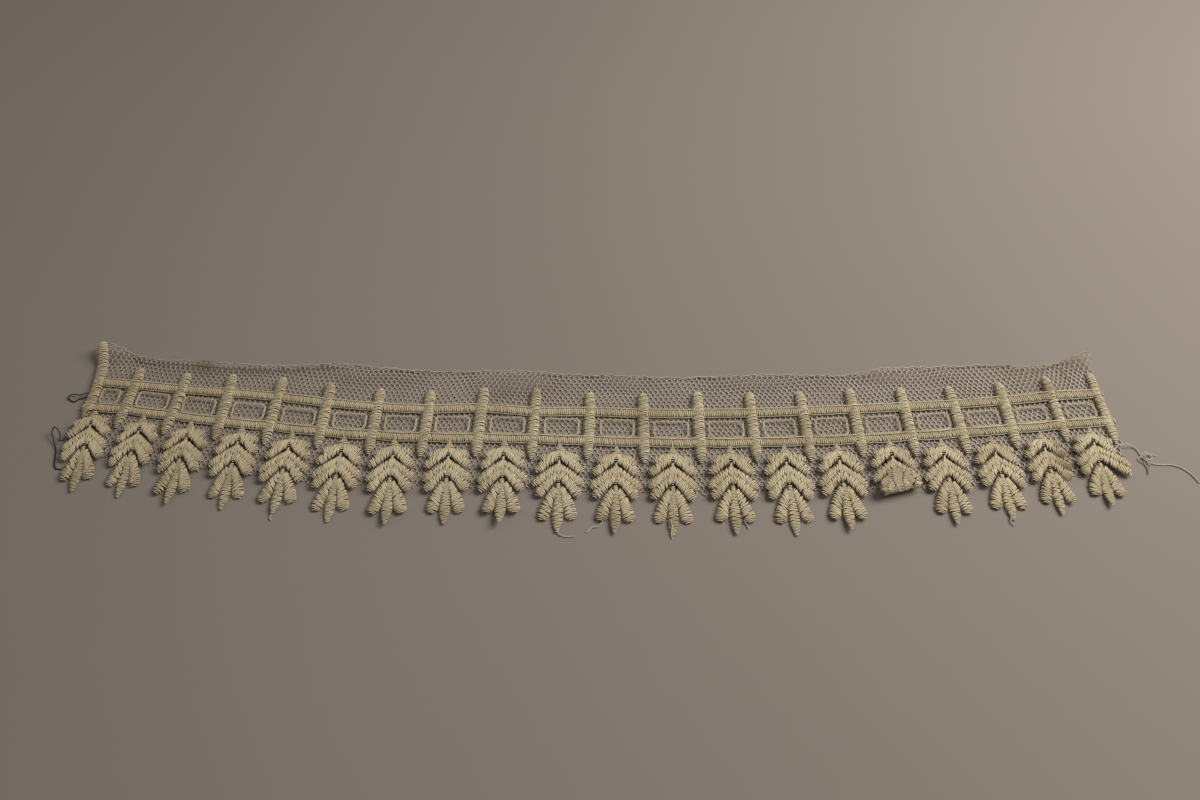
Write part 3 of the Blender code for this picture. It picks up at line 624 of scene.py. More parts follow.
# %% Finish a piece
TABLE_CLEAR = 0.02
Stain = namedtuple("Stain", "x y reach strength")
STAINS = [
    Stain(-135.0, 16.8, 3.6, 1.0),
    Stain(-160.0, -12.0, 70.0, 0.20),
    Stain(-166.0, 8.6, 7.0, 0.25),
    Stain(-21.4, 3.0, 3.5, 0.4),
    Stain(14.2, -8.0, 4.5, 0.3),
    Stain(66.7, -12.0, 7.0, 0.3),
    Stain(149.0, 3.4, 4.0, 0.5),
    Stain(146.8, -27.0, 4.5, 0.6),
    Stain(-64.8, -48.0, 3.0, 0.4),
    Stain(-47.4, -47.0, 3.2, 0.5),
    Stain(4.4, -49.0, 3.6, 0.45),
    Stain(21.9, -50.0, 3.4, 0.5),
    Stain(40.9, -50.0, 3.2, 0.5),
    Stain(92.0, -35.5, 5.5, 0.45),
    Stain(160.5, 20.5, 6.5, 0.5),
    Stain(139.0, 17.5, 9.0, 0.4),
]


def finish_piece(name, meshes, nodes=()):
    """Joins meshes in millimetres to one piece in metres that stands for the nodes."""
    parts = []
    for mesh in meshes:
        part = bpy.data.objects.new(name, mesh)
        bpy.context.scene.collection.objects.link(part)
        parts.append(part)
    piece = parts[0]
    if len(parts) > 1:
        with bpy.context.temp_override(
            active_object=piece, object=piece, selected_objects=parts, selected_editable_objects=parts
        ):
            bpy.ops.object.join()
    piece.name = piece.data.name = name
    points = points_of(piece.data)
    age = np.zeros(len(points))
    for stain in STAINS:
        away = np.hypot(points[:, 0] - stain.x, points[:, 1] - stain.y) / stain.reach
        age += stain.strength * np.exp(-away * away)
    piece.data.attributes.new("age", "FLOAT", "POINT").data.foreach_set("value", age)
    points[:, 2] = np.maximum(points[:, 2], TABLE_CLEAR)
    set_points(piece.data, points * MM)
    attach(piece, "root")
    if nodes:
        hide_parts(*nodes)
    return piece


def triangles(piece):
    return sum(len(p.vertices) - 2 for p in piece.data.polygons)


print("stains to show:", len(STAINS))

# %% [markdown]
# ## The loose threads
#
# A dark tacking thread has come loose at the left end, and a pale thread trails off at the right. Each
# is two strands twisted together. A tube alone looks like wire, so the strands are laid as two spirals
# round the route. The pale tail is free at one end; its centre line is also worked out in metres.
# The frayed ends at the leaf tips are laid in the same way, and so is a dark wisp under the knot that
# paints its shadow.

# %% Routes of the loose threads
TAIL_ROUTE = [
    (165.0, -20.2, 1.55),
    (168.2, -19.6, 1.5),
    (170.8, -19.8, 0.6),
    (171.8, -21.6, 0.3),
    (172.0, -23.5, 0.3),
    (172.9, -25.3, 0.3),
    (174.4, -26.6, 0.3),
    (177.0, -27.1, 0.3),
    (180.6, -27.2, 0.3),
    (183.4, -28.6, 0.3),
    (185.3, -30.9, 0.3),
    (186.6, -34.4, 0.3),
]
BIG_LOOP_ROUTE = [
    (-170.2, -17.5, 1.7),
    (-172.3, -17.9, 1.6),
    (-173.6, -18.2, 1.5),
    (-173.5, -16.6, 1.8),
    (-174.9, -14.2, 2.2),
    (-176.6, -13.0, 2.2),
    (-176.9, -14.8, 1.7),
    (-175.5, -18.0, 0.7),
    (-174.1, -20.8, 0.3),
    (-173.1, -24.2, 0.3),
    (-172.4, -26.9, 0.3),
    (-171.2, -28.7, 0.3),
    (-169.4, -29.0, 0.3),
]
SMALL_LOOP_ROUTE = [
    (-170.6, 3.3, 1.2),
    (-172.2, 2.9, 1.2),
    (-173.6, 2.2, 1.2),
    (-175.0, 2.8, 0.9),
    (-176.9, 2.9, 0.6),
    (-177.6, 1.9, 0.4),
    (-176.4, 0.6, 0.3),
    (-175.0, 0.1, 0.3),
    (-173.9, 1.2, 0.3),
    (-172.6, 1.5, 0.5),
    (-171.0, 1.6, 0.9),
]
SHORT_DARK_ROUTE = [(-165.3, -5.6, 2.4), (-165.9, -6.3, 3.2), (-166.7, -7.0, 3.5), (-167.6, -8.0, 3.4)]
KNOT_ROUTE = [
    (172.2, -24.0, 0.5),
    (173.9, -23.2, 0.8),
    (175.3, -24.2, 0.6),
    (174.2, -25.2, 0.4),
    (172.7, -24.5, 0.9),
    (173.4, -23.5, 1.1),
    (175.6, -23.4, 0.5),
]
FRAYS = [
    [(-13.0, -52.6, 0.9), (-12.0, -54.2, 0.4), (-10.4, -54.9, 0.3), (-7.6, -54.8, 0.3)],
    [(0.9, -49.6, 0.8), (-0.6, -51.2, 0.4), (-2.4, -51.6, 0.3), (-4.0, -53.3, 0.3)],
    [(21.4, -49.6, 1.2), (21.6, -52.0, 1.0), (21.3, -54.0, 0.6), (21.5, -55.6, 0.3)],
    [(43.4, -49.4, 0.9), (44.2, -50.6, 0.4), (44.6, -52.0, 0.3)],
    [(124.3, -48.0, 0.8), (124.0, -49.8, 0.4), (124.7, -51.0, 0.3)],
    [(-99.2, -46.0, 0.7), (-100.0, -47.8, 0.4), (-99.4, -48.8, 0.3)],
]
# a dark wisp below the tail's knot: a painted shadow of the tangle
KNOT_SHADOW_ROUTE = [(172.3, -24.6, 0.6), (171.9, -26.6, 0.3), (172.3, -28.6, 0.3), (171.8, -31.0, 0.3)]
KNOT_ENDS = [
    [(172.0, -23.6, 0.6), (173.4, -22.5, 0.9), (175.4, -22.9, 0.6), (176.8, -23.6, 0.3)],
    [(172.6, -24.9, 0.5), (171.4, -24.2, 0.6), (170.7, -25.3, 0.3), (171.6, -26.4, 0.3)],
    [(173.8, -24.8, 0.8), (173.2, -26.3, 0.4), (173.7, -27.6, 0.3)],
]
HEADING_THREAD = [(147.0, 12.0), (150.3, 13.9), (155.5, 15.5), (158.0, 13.3), (158.8, 9.4)]
TWIST_POINTS = 8


def smooth_route(route, step):
    """Points about one step apart on a smooth curve through a route."""
    route = np.array(route)
    lengths = np.concatenate([[0], np.cumsum(np.linalg.norm(np.diff(route, axis=0), axis=1))])
    away = np.linspace(0, lengths[-1], max(3, round(lengths[-1] / step) + 1))
    return np.stack([smooth_through(lengths, route[:, axis], away) for axis in range(3)], axis=1)


def plied(route, apart, twist_long):
    """Two guides that wind round a route as the strands of a thread."""
    centre = smooth_route(route, twist_long / TWIST_POINTS)
    along = np.gradient(centre, axis=0)
    along /= np.linalg.norm(along, axis=1)[:, None]
    sideways = np.cross(along, (0.0, 0.0, 1.0))
    sideways /= np.linalg.norm(sideways, axis=1)[:, None]
    upward = np.cross(sideways, along)
    turn = tau * np.arange(len(centre)) / TWIST_POINTS
    guides = []
    for phase in (0.0, pi):
        swing = np.cos(turn + phase)[:, None] * sideways + np.sin(turn + phase)[:, None] * upward
        guides.append(straight_guide(centre + swing * apart))
    return guides


print("routes to lay:", 5 + len(KNOT_ENDS) + len(FRAYS))

# %% Lay the loose threads
Ply = namedtuple("Ply", "apart twist radius sides")
LOOSE_PLY = Ply(0.11, 1.6, 0.12, 6)
KNOT_PLY = Ply(0.10, 1.2, 0.11, 5)
FRAY_PLY = Ply(0.10, 1.4, 0.11, 5)
KNOT_SHADOW_PLY = Ply(0.08, 1.2, 0.10, 5)


def lay_thread(name, routes, ply, material, nodes=()):
    """One piece of twisted thread, laid along its routes."""
    strands = [guide for route in routes for guide in plied(route, ply.apart, ply.twist)]
    mesh = grow(thread_tree, strands, Radius=ply.radius, Sides=ply.sides, Material=material)
    return finish_piece(name, [mesh], nodes)


tail = lay_thread("tail_thread", [TAIL_ROUTE], LOOSE_PLY, pale_cotton, ["thread_tail"])
knot = lay_thread("tail_knot", [KNOT_ROUTE] + KNOT_ENDS, KNOT_PLY, pale_cotton)
tail_line = smooth_route(TAIL_ROUTE, 0.5) * MM

# %% Lay the dark threads, the frayed ends and the painted shadow of the knot
for name, route, node in (
    ("big_loop_thread", BIG_LOOP_ROUTE, "thread_big_loop"),
    ("small_loop_thread", SMALL_LOOP_ROUTE, "thread_small_loop"),
):
    lay_thread(name, [route], LOOSE_PLY, dark_cotton, [node])
lay_thread("short_dark_thread", [SHORT_DARK_ROUTE], FRAY_PLY, dark_cotton)
frays = lay_thread("frayed_ends", FRAYS, FRAY_PLY, pale_cotton)
# painted shadow of the knot, in the dark padding colour
lay_thread("knot_shadow_wisp", [KNOT_SHADOW_ROUTE], KNOT_SHADOW_PLY, shade_padding)
print("frayed ends, triangles:", triangles(frays))

# %% [markdown]
# ## The net ground
#
# Machine-made net has six-sided holes. Its threads run down the cloth in zigzags: two neighbours twist
# together along each upright side, part, and meet their other neighbour below. A hexagon pattern in
# the material would look flat from the side, so each thread is laid as a real one. The holes are 1.8 mm
# wide, and the strip is cut ragged at its edges. A few loose threads run along its cut top.

# %% Lay the zigzag threads
NET_CELL = 1.79
NET_SIDE = NET_CELL / sqrt(3)
NET_RADIUS = 0.208
NET_MIDDLE = 0.24
NET_PAIR = 0.05
NET_PULL = 0.35
NET_TOP_OVER = 0.7
NET_CROSSING = 0.05
NET_ROWS = 44
NET_REACH = (-176, 172)
NET_SPAN = (-171.0, 168.0)
NET_STARTS = 20.0
NET_LEAST_RUN = 3
EDGE_THREADS = [(-171.0, -60.0, 0.5), (-75.0, 40.0, 0.4), (30.0, 168.0, 0.5)]
EDGE_STEP = 0.8
EDGE_LIFT = 0.35


def pulled(x, y):
    """Moves points of the net a little, as handling has pulled it out of true."""
    dx = NET_PULL * (np.sin(x / 6.1 + y / 4.3) + np.sin(y / 2.9 - x / 11.0))
    dy = NET_PULL * (np.sin(x / 7.7 - y / 5.9) + np.sin(x / 3.7 + y / 13.0))
    return x + dx, y + dy


def on_net(x, y):
    """True where a point lies inside the net's cut edges, which are a little ragged."""
    ragged = 0.4 * np.sin(x * 2.3) + 0.3 * np.sin(x * 5.9 + 1.0)
    low = y > net_bottom(x) + ragged
    high = y < at_pickets("net_top", x) + NET_TOP_OVER + ragged
    left = x > smooth_through([e[0] for e in LEFT_END], [e[1] for e in LEFT_END], y)
    right = x < smooth_through([e[0] for e in RIGHT_END], [e[1] for e in RIGHT_END], y)
    return low & high & left & right


def net_guides():
    """The zigzags, each cut into the runs that lie inside the net's edges."""
    guides = []
    rows = np.arange(NET_ROWS)
    first_column, last_column = (int(end / (NET_CELL / 2)) for end in NET_REACH)
    for j in range(first_column, last_column):
        column = np.where((rows + j) % 2 == 0, j, j + 1)
        side = np.where(column == j, NET_PAIR, -NET_PAIR)
        x = np.repeat(column * NET_CELL / 2 + side, 2)
        down = np.stack([rows * 1.5 * NET_SIDE, rows * 1.5 * NET_SIDE + NET_SIDE], axis=1).ravel()
        y = at_pickets("upper_rail", x) + NET_STARTS - down
        x, y = pulled(x, y)
        z = lie(x, y) + NET_MIDDLE + NET_CROSSING * np.where(np.arange(len(x)) % 4 < 2, 1, -1)
        inside = on_net(x, y)
        starts = np.flatnonzero(np.diff(np.concatenate([[0], inside.astype(int), [0]])))
        for first, last in zip(starts[::2], starts[1::2]):
            if last - first >= NET_LEAST_RUN:
                guides.append(straight_guide(np.stack([x, y, z], axis=1)[first:last]))
    return guides


def edge_guides():
    """Loose threads that run along the cut top edge."""
    guides = []
    for k, (left, right, below) in enumerate(EDGE_THREADS):
        x = np.arange(left, right, EDGE_STEP)
        y = at_pickets("net_top", x) + NET_TOP_OVER - below
        y = y + 0.25 * np.sin(x * 1.7 + k) + 0.2 * np.sin(x * 0.6)
        z = lie(x, y) + NET_MIDDLE + EDGE_LIFT + 0.1 * np.sin(x * 2.2)
        guides.append(straight_guide(np.stack([x, y, z], axis=1)))
    return guides


net_mesh = grow(thread_tree, net_guides() + edge_guides(), Radius=NET_RADIUS, Sides=3, Material=net_cotton)
net = finish_piece("net_ground", [net_mesh], ["net"])
across = np.arange(*NET_SPAN, 1.0)
net_area = float(np.sum(at_pickets("net_top", across) - net_bottom(across))) * MM * MM
print("net triangles:", triangles(net), "flat area in square mm:", round(net_area * 1e6))

# %% Lay two brown threads on the heading
CREASE = (-160.0, -88.0)
CREASE_BELOW = 1.9
BROWN_THREAD = 0.12
crease_x = np.arange(*CREASE, EDGE_STEP)
crease_y = at_pickets("net_top", crease_x) - CREASE_BELOW + 0.15 * np.sin(crease_x * 0.9)
stray_x, stray_y, _ = smooth_route([(x, y, 0.0) for x, y in HEADING_THREAD], 0.6).T
brown_lines = [
    straight_guide(np.stack([x, y, lie(x, y) + NET_MIDDLE + EDGE_LIFT], axis=1))
    for x, y in ((crease_x, crease_y), (stray_x, stray_y))
]
brown_mesh = grow(thread_tree, brown_lines, Radius=BROWN_THREAD, Sides=5, Material=brown_cotton)
heading = finish_piece("heading_threads", [brown_mesh])
print("brown threads, triangles:", triangles(heading))

# %% [markdown]
# ## Rails and pickets
#
# Rails and pickets are satin stitch over padding, all worked in one go. A smooth band with a striped
# picture would lose the ribs along its edge, so each stitch is an arch of thread. The rail's stitches
# stop under each picket, because the picket is worked over them and nothing shows there. A thin cord
# runs along the top of each rail, and a thinner one below it.

# %% Stitch the rails and pickets
HEAD_TAPER = [(0.0, 0.60), (1.0, 0.84), (3.2, 0.97), (9.0, 1.0)]
FOOT_TAPER = [(0.0, 0.30), (1.4, 0.66), (4.0, 0.94), (9.0, 1.0)]
CRUMPLED_BOW = 1.3
PICKET_BOW = 0.25
STITCH_PITCH = 0.62
STITCH_THREAD = 0.25
RAIL_RISE = 0.50
PICKET_RISE = 0.58
DRAWN_DOWN = -0.45
RAIL_TRIM = 0.1
RAIL_WANDER = 0.12
PICKET_WANDER = 0.18
PICKET_UNEVEN = 0.04
RailCord = namedtuple("RailCord", "above radius lift")
RAIL_CORDS = [RailCord(1.55, 0.24, 0.15), RailCord(-1.55, 0.17, -0.45)]
UNDER_PICKET = 1.2
THIN_PICKETS = {19: 0.88, 20: 0.80}
RAIL_ENDS = (-170.6, 167.7)


def rail_guides(centre_at):
    guides = []
    for one, two in zip(PICKETS, PICKETS[1:]):
        left = RAIL_ENDS[0] if one is PICKETS[0] else one.x + UNDER_PICKET
        right = RAIL_ENDS[1] if two is PICKETS[-1] else two.x - UNDER_PICKET
        x = np.linspace(left, right, 8)
        line = np.stack([x, centre_at(x) - RAIL_TRIM, 0 * x], axis=1)
        guides.append(straight_guide(line, RAIL_HALF - RAIL_TRIM))
    return guides


def picket_guide(i, picket):
    long = hypot(picket.foot_x - picket.x, picket.foot - picket.top)
    ends = HEAD_TAPER + [(long / 2, 1.0)] + [(long - d, s) for d, s in reversed(FOOT_TAPER)]
    down, share = np.array(ends).T
    bow = CRUMPLED_BOW if i == 0 else PICKET_BOW * uneven(i, 2)
    t = down / long
    x = picket.x + (picket.foot_x - picket.x) * t + bow * np.sin(pi * t)
    y = picket.top + (picket.foot - picket.top) * t
    wide = PICKET_HALF * THIN_PICKETS.get(i, 1.0 + PICKET_UNEVEN * uneven(i, 5))
    return straight_guide(np.stack([x, y, 0 * x], axis=1), wide * share)


def rail_cord(centre_at, above):
    x = np.arange(*RAIL_ENDS, 1.0)
    y = centre_at(x) + above + 0.06 * np.sin(x * 1.3)
    return straight_guide(np.stack([x, y, 0 * x], axis=1))


def rail_cords():
    """The cords beside both rails, one mesh for each thickness."""
    for cord in RAIL_CORDS:
        lines = [rail_cord(centre_at, cord.above) for centre_at in (upper_rail, lower_rail)]
        mesh = grow(thread_tree, lines, Radius=cord.radius, Sides=6, Material=cord_cotton)
        yield lift_on_net(mesh, cord.lift)


rails = rail_guides(upper_rail) + rail_guides(lower_rail)
pickets = [picket_guide(i, picket) for i, picket in enumerate(PICKETS)]
rail_stitches = grow(
    stitch_tree, rails,
    Pitch=STITCH_PITCH, Thread=STITCH_THREAD, Rise=RAIL_RISE, Wander=RAIL_WANDER, Seed=3,
    Material=rail_cotton,
)
picket_stitches = grow(
    stitch_tree, pickets,
    Pitch=STITCH_PITCH, Thread=STITCH_THREAD, Rise=PICKET_RISE, Wander=PICKET_WANDER, Seed=5,
    Material=lit_picket_cotton,
)
fence = finish_piece(
    "rails_and_pickets",
    [
        lift_on_net(rail_stitches, RAIL_LIFT + DRAWN_DOWN),
        lift_on_net(picket_stitches, DRAWN_DOWN),
        *rail_cords(),
        lift_on_net(padding_of(rails, RAIL_RISE), RAIL_LIFT + DRAWN_DOWN),
        lift_on_net(padding_of(pickets, PICKET_RISE), DRAWN_DOWN),
    ],
    ["fence"],
)
print("rails and pickets, triangles:", triangles(fence))

# %% [markdown]
# ## The windows
#
# Each window is one line of cord, laid on the net as a rounded box and tied down by fine stitches. The
# cord reads as a double line, so two strands are laid side by side, and fine thread crosses them here
# and there. Both of the first trees serve again.

# %% Couch the window cords
STRAND_APART = 0.17
STRAND_RADIUS = 0.12
STRAND_LIFT = -0.05
TIE_HALF = 0.44
TIE_LEAN = 0.3
TIE_PITCH = 2.6
TIE_THREAD = 0.10
TIE_RISE = 0.62
TIE_WANDER = 0.5
TIE_LIFT = -0.1
WINDOW_WOBBLE = 0.09


def window_line(index, bay, offset):
    """The rounded outline of a window, moved outwards by an offset."""
    inset = WINDOW_CORNER
    left, right = bay.window_left + inset, bay.window_right - inset
    points = []
    for k, (x, level, turn) in enumerate(
        [(right, 1, 0.0), (left, 1, 0.5), (left, 0, 1.0), (right, 0, 1.5)]
    ):
        for step in np.linspace(0, 0.5, 6):
            angle = pi * (turn + step)
            points.append((x + (inset + offset) * cos(angle), level, (inset + offset) * sin(angle)))
        if k % 2 == 0:
            for share in np.linspace(0, 1, 12)[1:-1]:
                other = left if x == right else right
                points.append((x + (other - x) * share, level, (inset + offset) * (1 if level else -1)))
    x, level, swing = np.array(points).T
    base = lower_rail(x) + RAIL_HALF + WINDOW_OFF_RAIL + WINDOW_CORD / 2
    y = base + inset + level * (bay.window_high - 2 * inset) + swing
    x = x + WINDOW_WOBBLE * np.sin(y * 2.1 + index)
    y = y + WINDOW_WOBBLE * np.sin(x * 1.6 + 2.0 * index)
    return np.stack([x, y, 0.0 * x], axis=1)


for index, bay in enumerate(BAYS, start=1):
    strands = [
        straight_guide(window_line(index, bay, side * STRAND_APART), closed=True) for side in (-1, 1)
    ]
    cords = grow(thread_tree, strands, Radius=STRAND_RADIUS, Sides=6, Material=cord_cotton)
    tied = straight_guide(window_line(index, bay, 0.0), TIE_HALF, TIE_LEAN, closed=True)
    ties = grow(
        stitch_tree, [tied],
        Pitch=TIE_PITCH, Thread=TIE_THREAD, Rise=TIE_RISE, Wander=TIE_WANDER, Seed=index,
        Material=cord_cotton,
    )
    window = finish_piece(
        f"window_{index:02d}_cord",
        [lift_on_net(cords, STRAND_LIFT), lift_on_net(ties, TIE_LIFT)],
        [f"window_{index:02d}"],
    )
print("the last window, triangles:", triangles(window))

# %% [markdown]
# ## The leaves
#
# A leaf is a fan of padded lobes: five on each side, one at the tip, a short one over the stem and a
# thin one down the spine. The stitches lean towards the leaf's own length. Each lobe's guide is drawn
# in the leaf's own plane, out from the spine and down from its top, and the finished stitches are then
# laid in place with the padding. Working flat first means that one drawing serves all twenty, also
# those that are folded, curled and torn.

# %% The chart of a leaf
Lobe = namedtuple("Lobe", "root_out root_down tip_out tip_down root_half half layer")
LOBES = [
    Lobe(0.4, 3.8, 6.2, 5.9, 1.10, 1.30, 0.26),
    Lobe(0.9, 4.9, 7.0, 10.7, 1.15, 1.52, 0.30),
    Lobe(0.3, 9.0, 7.5, 16.2, 1.15, 1.30, 0.10),
    Lobe(0.7, 12.3, 6.5, 20.0, 1.20, 1.54, 0.15),
    Lobe(1.0, 17.5, 4.6, 28.4, 0.90, 1.75, 0.04),
]
END_LOBE = Lobe(0.0, 15.6, 0.0, LEAF_LONG, 0.50, 1.62, -0.04)
STEM_LOBE = Lobe(0.0, -0.2, 0.0, 5.4, 0.35, 1.90, 0.24)
SPINE_LOBE = Lobe(0.0, 6.6, 0.0, 14.6, 0.30, 0.60, 0.04)
# a wide flat band of the dark padding under the spine, so the slits between lobes show painted shade
SLIT_SHADE_FILL = Lobe(0.0, 3.0, 0.0, 20.0, 2.8, 2.8, -0.45)
STRAY_LOBES = {
    (16, -1, 3): (5.4, 20.6),
    (20, 1, 1): (6.2, 10.4),
    (20, 1, 2): (10.0, 15.6),
    (20, 1, 3): (9.4, 19.4),
}
LOBE_UNEVEN = 0.3
LOBE_BOW = 0.3
LOBE_LONG = 0.97
LOBE_LEAN = 0.55
LEAN_KEPT_TO = 0.4
LEAN_LOST_OVER = 0.5
LEAN_LOST = 0.9
LEAF_RISE = 0.42
LEAF_CROWN = 1.15
WIDENS_TO = 0.65
ROUND_END = [(0.0, 1.0), (0.86, 1.0), (0.95, 0.86), (1.0, 0.50)]
POINTED_END = [(0.0, 1.0), (0.62, 1.0), (0.85, 0.72), (1.0, 0.30)]


def lobe_guide(lobe, side, lean=LOBE_LEAN, end=ROUND_END):
    """One lobe's line, bent a little, with its width and the lean of its stitches."""
    root = np.array([lobe.root_out * side, lobe.root_down])
    tip = np.array([lobe.tip_out * side, lobe.tip_down])
    t = np.linspace(0, 1, 14)
    axis = tip - root
    bend = np.array([axis[1], -axis[0]]) / np.linalg.norm(axis) * side
    bow = LOBE_BOW * np.sin(pi * t) * (lobe.tip_out > 0)
    line = root + np.outer(t, axis) * LOBE_LONG + np.outer(bow, bend)
    rounding = np.interp(t, *zip(*end))
    half = (lobe.root_half + (lobe.half - lobe.root_half) * np.minimum(t / WIDENS_TO, 1)) * rounding
    high = LEAF_CROWN * (0.3 + 0.7 * rounding) - LEAF_RISE * half + lobe.layer
    settle = 1 - LEAN_LOST * np.clip((t - LEAN_KEPT_TO) / LEAN_LOST_OVER, 0, 1)
    return straight_guide(np.column_stack([line, high]), half, -side * lean * settle)


def leaf_guides(index):
    """All the lobes of one leaf, each a little uneven."""
    guides = []
    for side in (1, -1):
        for k, lobe in enumerate(LOBES):
            out = lobe.tip_out + LOBE_UNEVEN * uneven(index, k, side)
            down = lobe.tip_down + LOBE_UNEVEN * uneven(index, k + 9, side)
            if (index, side, k) in STRAY_LOBES:
                out, down = STRAY_LOBES[index, side, k]
            guides.append(lobe_guide(lobe._replace(tip_out=out, tip_down=down), side))
    end = lobe_guide(END_LOBE, 1, 0.25, POINTED_END)
    return guides + [end, lobe_guide(STEM_LOBE, 1, 0.2), lobe_guide(SPINE_LOBE, 1, 0.9)]


print("guides in a leaf:", len(leaf_guides(1)))

# %% Lay a leaf where it belongs
FOLDED_LEAF = 16
FOLD_FROM = np.array([85.3, -41.4])
FOLD_TO = np.array([99.4, -37.3])
FOLD_TURN = 2.6
FLAP_SHARE = 0.6
FLAP_SHEAR = 0.7
FLAP_SPRING = 0.1
LEAF_RIDGE = 1.3
CURLED_LEAF = 19
CURL_FROM = 2.5
CURL_RADIUS = 5.0
EASE_STARTS = 0.8
TIP_EASE = 5.0
TIP_REACH = 9.0
SLOPE_REACH = 6.0


def fold_back(points):
    """Folds the lower part of a leaf back over its face."""
    along = (FOLD_TO - FOLD_FROM) / np.linalg.norm(FOLD_TO - FOLD_FROM)
    away = np.array([along[1], -along[0]])
    axis_high = NET_THICK + GAP + LEAF_RIDGE + GAP / 2
    hinge = FOLD_FROM - away * (LEAF_RIDGE + GAP / 2)
    beyond = (points[:, :2] - hinge) @ away
    sideways = (points[:, :2] - hinge) @ along
    arm = axis_high - points[:, 2]
    turn = pi * np.minimum(beyond / FOLD_TURN, 1)
    flap = np.maximum(beyond - FOLD_TURN, 0) * FLAP_SHARE
    place = hinge + np.outer(sideways + flap * FLAP_SHEAR, along)
    place = place + np.outer(arm * np.sin(turn) - flap, away)
    folded = np.column_stack([place, axis_high - arm * np.cos(turn) + flap * FLAP_SPRING])
    return np.where((beyond > 0)[:, None], folded, points)


def lay_leaf(index, bay, mesh):
    """Takes a mesh from the leaf's own plane to its place on the trim."""
    out, down, high = points_of(mesh).T
    if index == CURLED_LEAF:
        turn = np.maximum(out - CURL_FROM, 0) / CURL_RADIUS
        arm = CURL_RADIUS - high
        curled = out > CURL_FROM
        out, high = (
            np.where(curled, CURL_FROM + arm * np.sin(turn), out),
            np.where(curled, CURL_RADIUS - arm * np.cos(turn), high),
        )
    top = np.array([bay.leaf_x, bay.leaf_top])
    axis = np.array([bay.tip_x, bay.tip_y]) - top
    stretch = np.linalg.norm(axis) / LEAF_LONG
    axis = axis / np.linalg.norm(axis)
    across = np.array([-axis[1], axis[0]])
    flat = top + np.outer(out * bay.leaf_wide / LEAF_WIDE, across) + np.outer(down * stretch, axis)
    points = np.column_stack([flat, high])
    if index == FOLDED_LEAF:
        points[:, 2] += NET_THICK + GAP
        points = fold_back(points)
    else:
        rise = net_bottom(bay.leaf_x + SLOPE_REACH) - net_bottom(bay.leaf_x - SLOPE_REACH)
        normal = np.array([rise / (2 * SLOPE_REACH), -1.0])
        normal /= np.linalg.norm(normal)
        edge = np.array([bay.leaf_x, net_bottom(bay.leaf_x) - EASE_STARTS])
        beyond = (points[:, :2] - edge) @ normal
        held = 1.0 - np.clip(beyond / TIP_EASE, 0, 1)
        free = np.maximum(beyond - TIP_EASE, 0) / TIP_REACH
        points[:, 2] += (seat(points[:, 0], points[:, 1]) + DRAWN_DOWN) * held + bay.tip_rise * free
    set_points(mesh, points)
    mesh.flip_normals()
    return mesh


print("fold line of leaf 16, in mm:", round(float(np.linalg.norm(FOLD_TO - FOLD_FROM)), 1))

# %% Stitch the back of the folded leaf
BACK_LEVEL = 0.05
BACK_CLEAR = 0.15
BACK_FLAT = 0.25
BACK_FROM = 18.5
BACK_PITCH = 0.45
BACK_THREAD = 0.24
BACK_RISE = 0.05
BACK_WANDER = 0.3
BACK_BAND = Lobe(0.0, 13.0, 0.0, 31.0, 5.2, 4.4, 0.0)


def clear_of_back(filling):
    """Keeps the padding off the leaf's back."""
    points = points_of(filling)
    points[:, 2] = np.maximum(points[:, 2], BACK_LEVEL + BACK_CLEAR)
    return set_points(filling, points)


def stitched_back(guides):
    """The flat stitches on the back, which the fold brings into view."""
    lower = [guide for guide in guides if guide.line[-1][1] > BACK_FROM]
    back = grow(
        stitch_tree, [lobe_guide(BACK_BAND, 1, 0.7, POINTED_END)] + lower,
        Pitch=BACK_PITCH, Thread=BACK_THREAD, Rise=BACK_RISE, Wander=BACK_WANDER, Seed=7,
        Material=leaf_cotton,
    )
    points = points_of(back)
    points[:, 2] = BACK_LEVEL - BACK_FLAT * np.abs(points[:, 2])
    set_points(back, points)
    back.flip_normals()
    return back


print("lobes on the back end at least", BACK_FROM, "mm down the leaf")

# %% Stitch the twenty leaves
LEAF_PITCH = 0.50
LEAF_THREAD = 0.22
LEAF_WANDER = 0.24
for index, bay in enumerate(BAYS, start=1):
    guides = leaf_guides(index)
    stitched = grow(
        stitch_tree, guides,
        Pitch=LEAF_PITCH, Thread=LEAF_THREAD, Rise=LEAF_RISE, Wander=LEAF_WANDER, Seed=40 + index,
        Material=leaf_cotton,
    )
    layers = [stitched, padding_of(guides + [lobe_guide(SLIT_SHADE_FILL, 1)], LEAF_RISE)]
    if index == FOLDED_LEAF:
        clear_of_back(layers[1])
        layers.append(stitched_back(guides))
    laid = [lay_leaf(index, bay, layer) for layer in layers]
    leaf = finish_piece(f"leaf_{index:02d}_satin", laid, [f"leaf_{index:02d}"])
print("the last leaf, triangles:", triangles(leaf))

# %% [markdown]
# ## The table and the light
#
# The trim lies on a plain warm grey table. A strong soft lamp stands to the right and a weak one far to
# the left, so the table is brighter on the right, and each padded lobe casts a short shadow to its left.

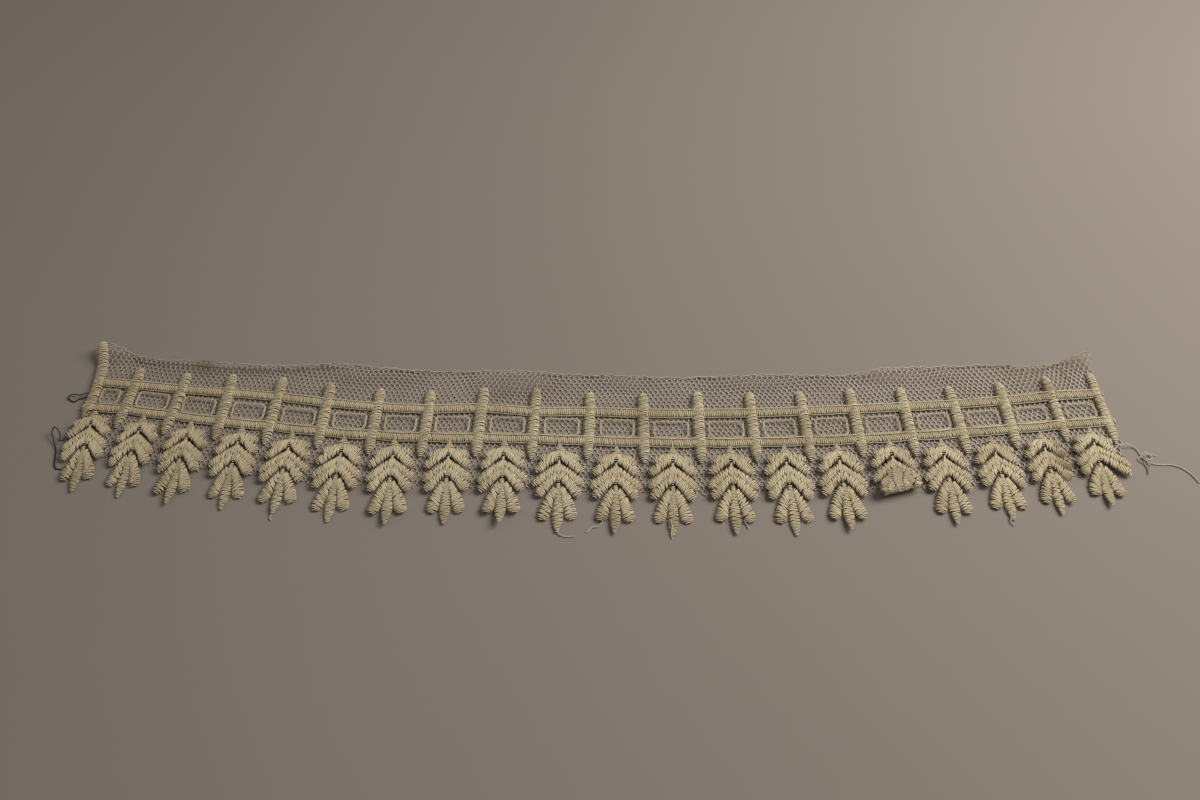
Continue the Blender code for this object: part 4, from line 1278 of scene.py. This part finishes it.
# %% The floor
TABLE_END = 2
TABLE_DEEP = (0.330, 0.291, 0.262)
TABLE_PALE = (0.348, 0.307, 0.276)
TABLE_GRAIN = 9.0
table_corners = [(x * TABLE_END, y * TABLE_END, 0) for x, y in ((-1, -1), (1, -1), (1, 1), (-1, 1))]
floor_mesh = bpy.data.meshes.new("floor")
floor_mesh.from_pydata(table_corners, [], [(0, 1, 2, 3)])
floor = bpy.data.objects.new("floor", floor_mesh)
bpy.context.scene.collection.objects.link(floor)
paper = bpy.data.materials.new("table_paper")
paper.use_nodes = True
paper_tree = paper.node_tree
paper_shader = paper_tree.nodes["Principled BSDF"]
paper_shader.inputs["Roughness"].default_value = 0.95
paper_shader.inputs["Specular IOR Level"].default_value = 0.1
grain = paper_tree.nodes.new("ShaderNodeTexNoise")
grain.inputs["Scale"].default_value = TABLE_GRAIN
grain.inputs["Detail"].default_value = 6.0
place = paper_tree.nodes.new("ShaderNodeTexCoord").outputs["Object"]
paper_tree.links.new(place, grain.inputs["Vector"])
paper_tree.links.new(
    link_mix(paper_tree, grain.outputs["Fac"], TABLE_DEEP, TABLE_PALE),
    paper_shader.inputs["Base Color"],
)
floor_mesh.materials.append(paper)
floor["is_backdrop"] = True
print("the table is", 2 * TABLE_END, "m wide")

# %% The lamps
Lamp = namedtuple("Lamp", "name place size watts")
LAMPS = [
    Lamp("left_lamp", (-1.00, 0.15, 0.75), 0.60, 0.6),
    Lamp("right_lamp", (0.52, 0.155, 0.52), 0.45, 4.6),
]
LAMP_COLOUR = (1.0, 0.95, 0.88)
ROOM_COLOUR = (0.95, 0.93, 0.90, 1.0)
ROOM_LIGHT = 0.175
for spec in LAMPS:
    lamp = bpy.data.objects.new(spec.name, bpy.data.lights.new(spec.name, "AREA"))
    lamp.data.size = spec.size
    lamp.data.energy = spec.watts
    lamp.data.color = LAMP_COLOUR
    lamp.location = spec.place
    lamp.rotation_euler = (-Vector(spec.place)).to_track_quat("-Z", "Y").to_euler()
    bpy.context.scene.collection.objects.link(lamp)
world = bpy.data.worlds.new("room")
world.use_nodes = True
world.node_tree.nodes["Background"].inputs["Color"].default_value = ROOM_COLOUR
world.node_tree.nodes["Background"].inputs["Strength"].default_value = ROOM_LIGHT
bpy.context.scene.world = world
bpy.context.scene.view_settings.view_transform = "Standard"
print("lamps:", len(LAMPS), "with", sum(spec.watts for spec in LAMPS), "W in all")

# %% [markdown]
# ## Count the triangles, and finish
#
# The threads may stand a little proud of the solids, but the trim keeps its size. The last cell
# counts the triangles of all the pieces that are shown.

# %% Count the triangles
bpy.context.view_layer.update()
print("all triangles:", sum(triangles(p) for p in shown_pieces() if p.type == "MESH"))
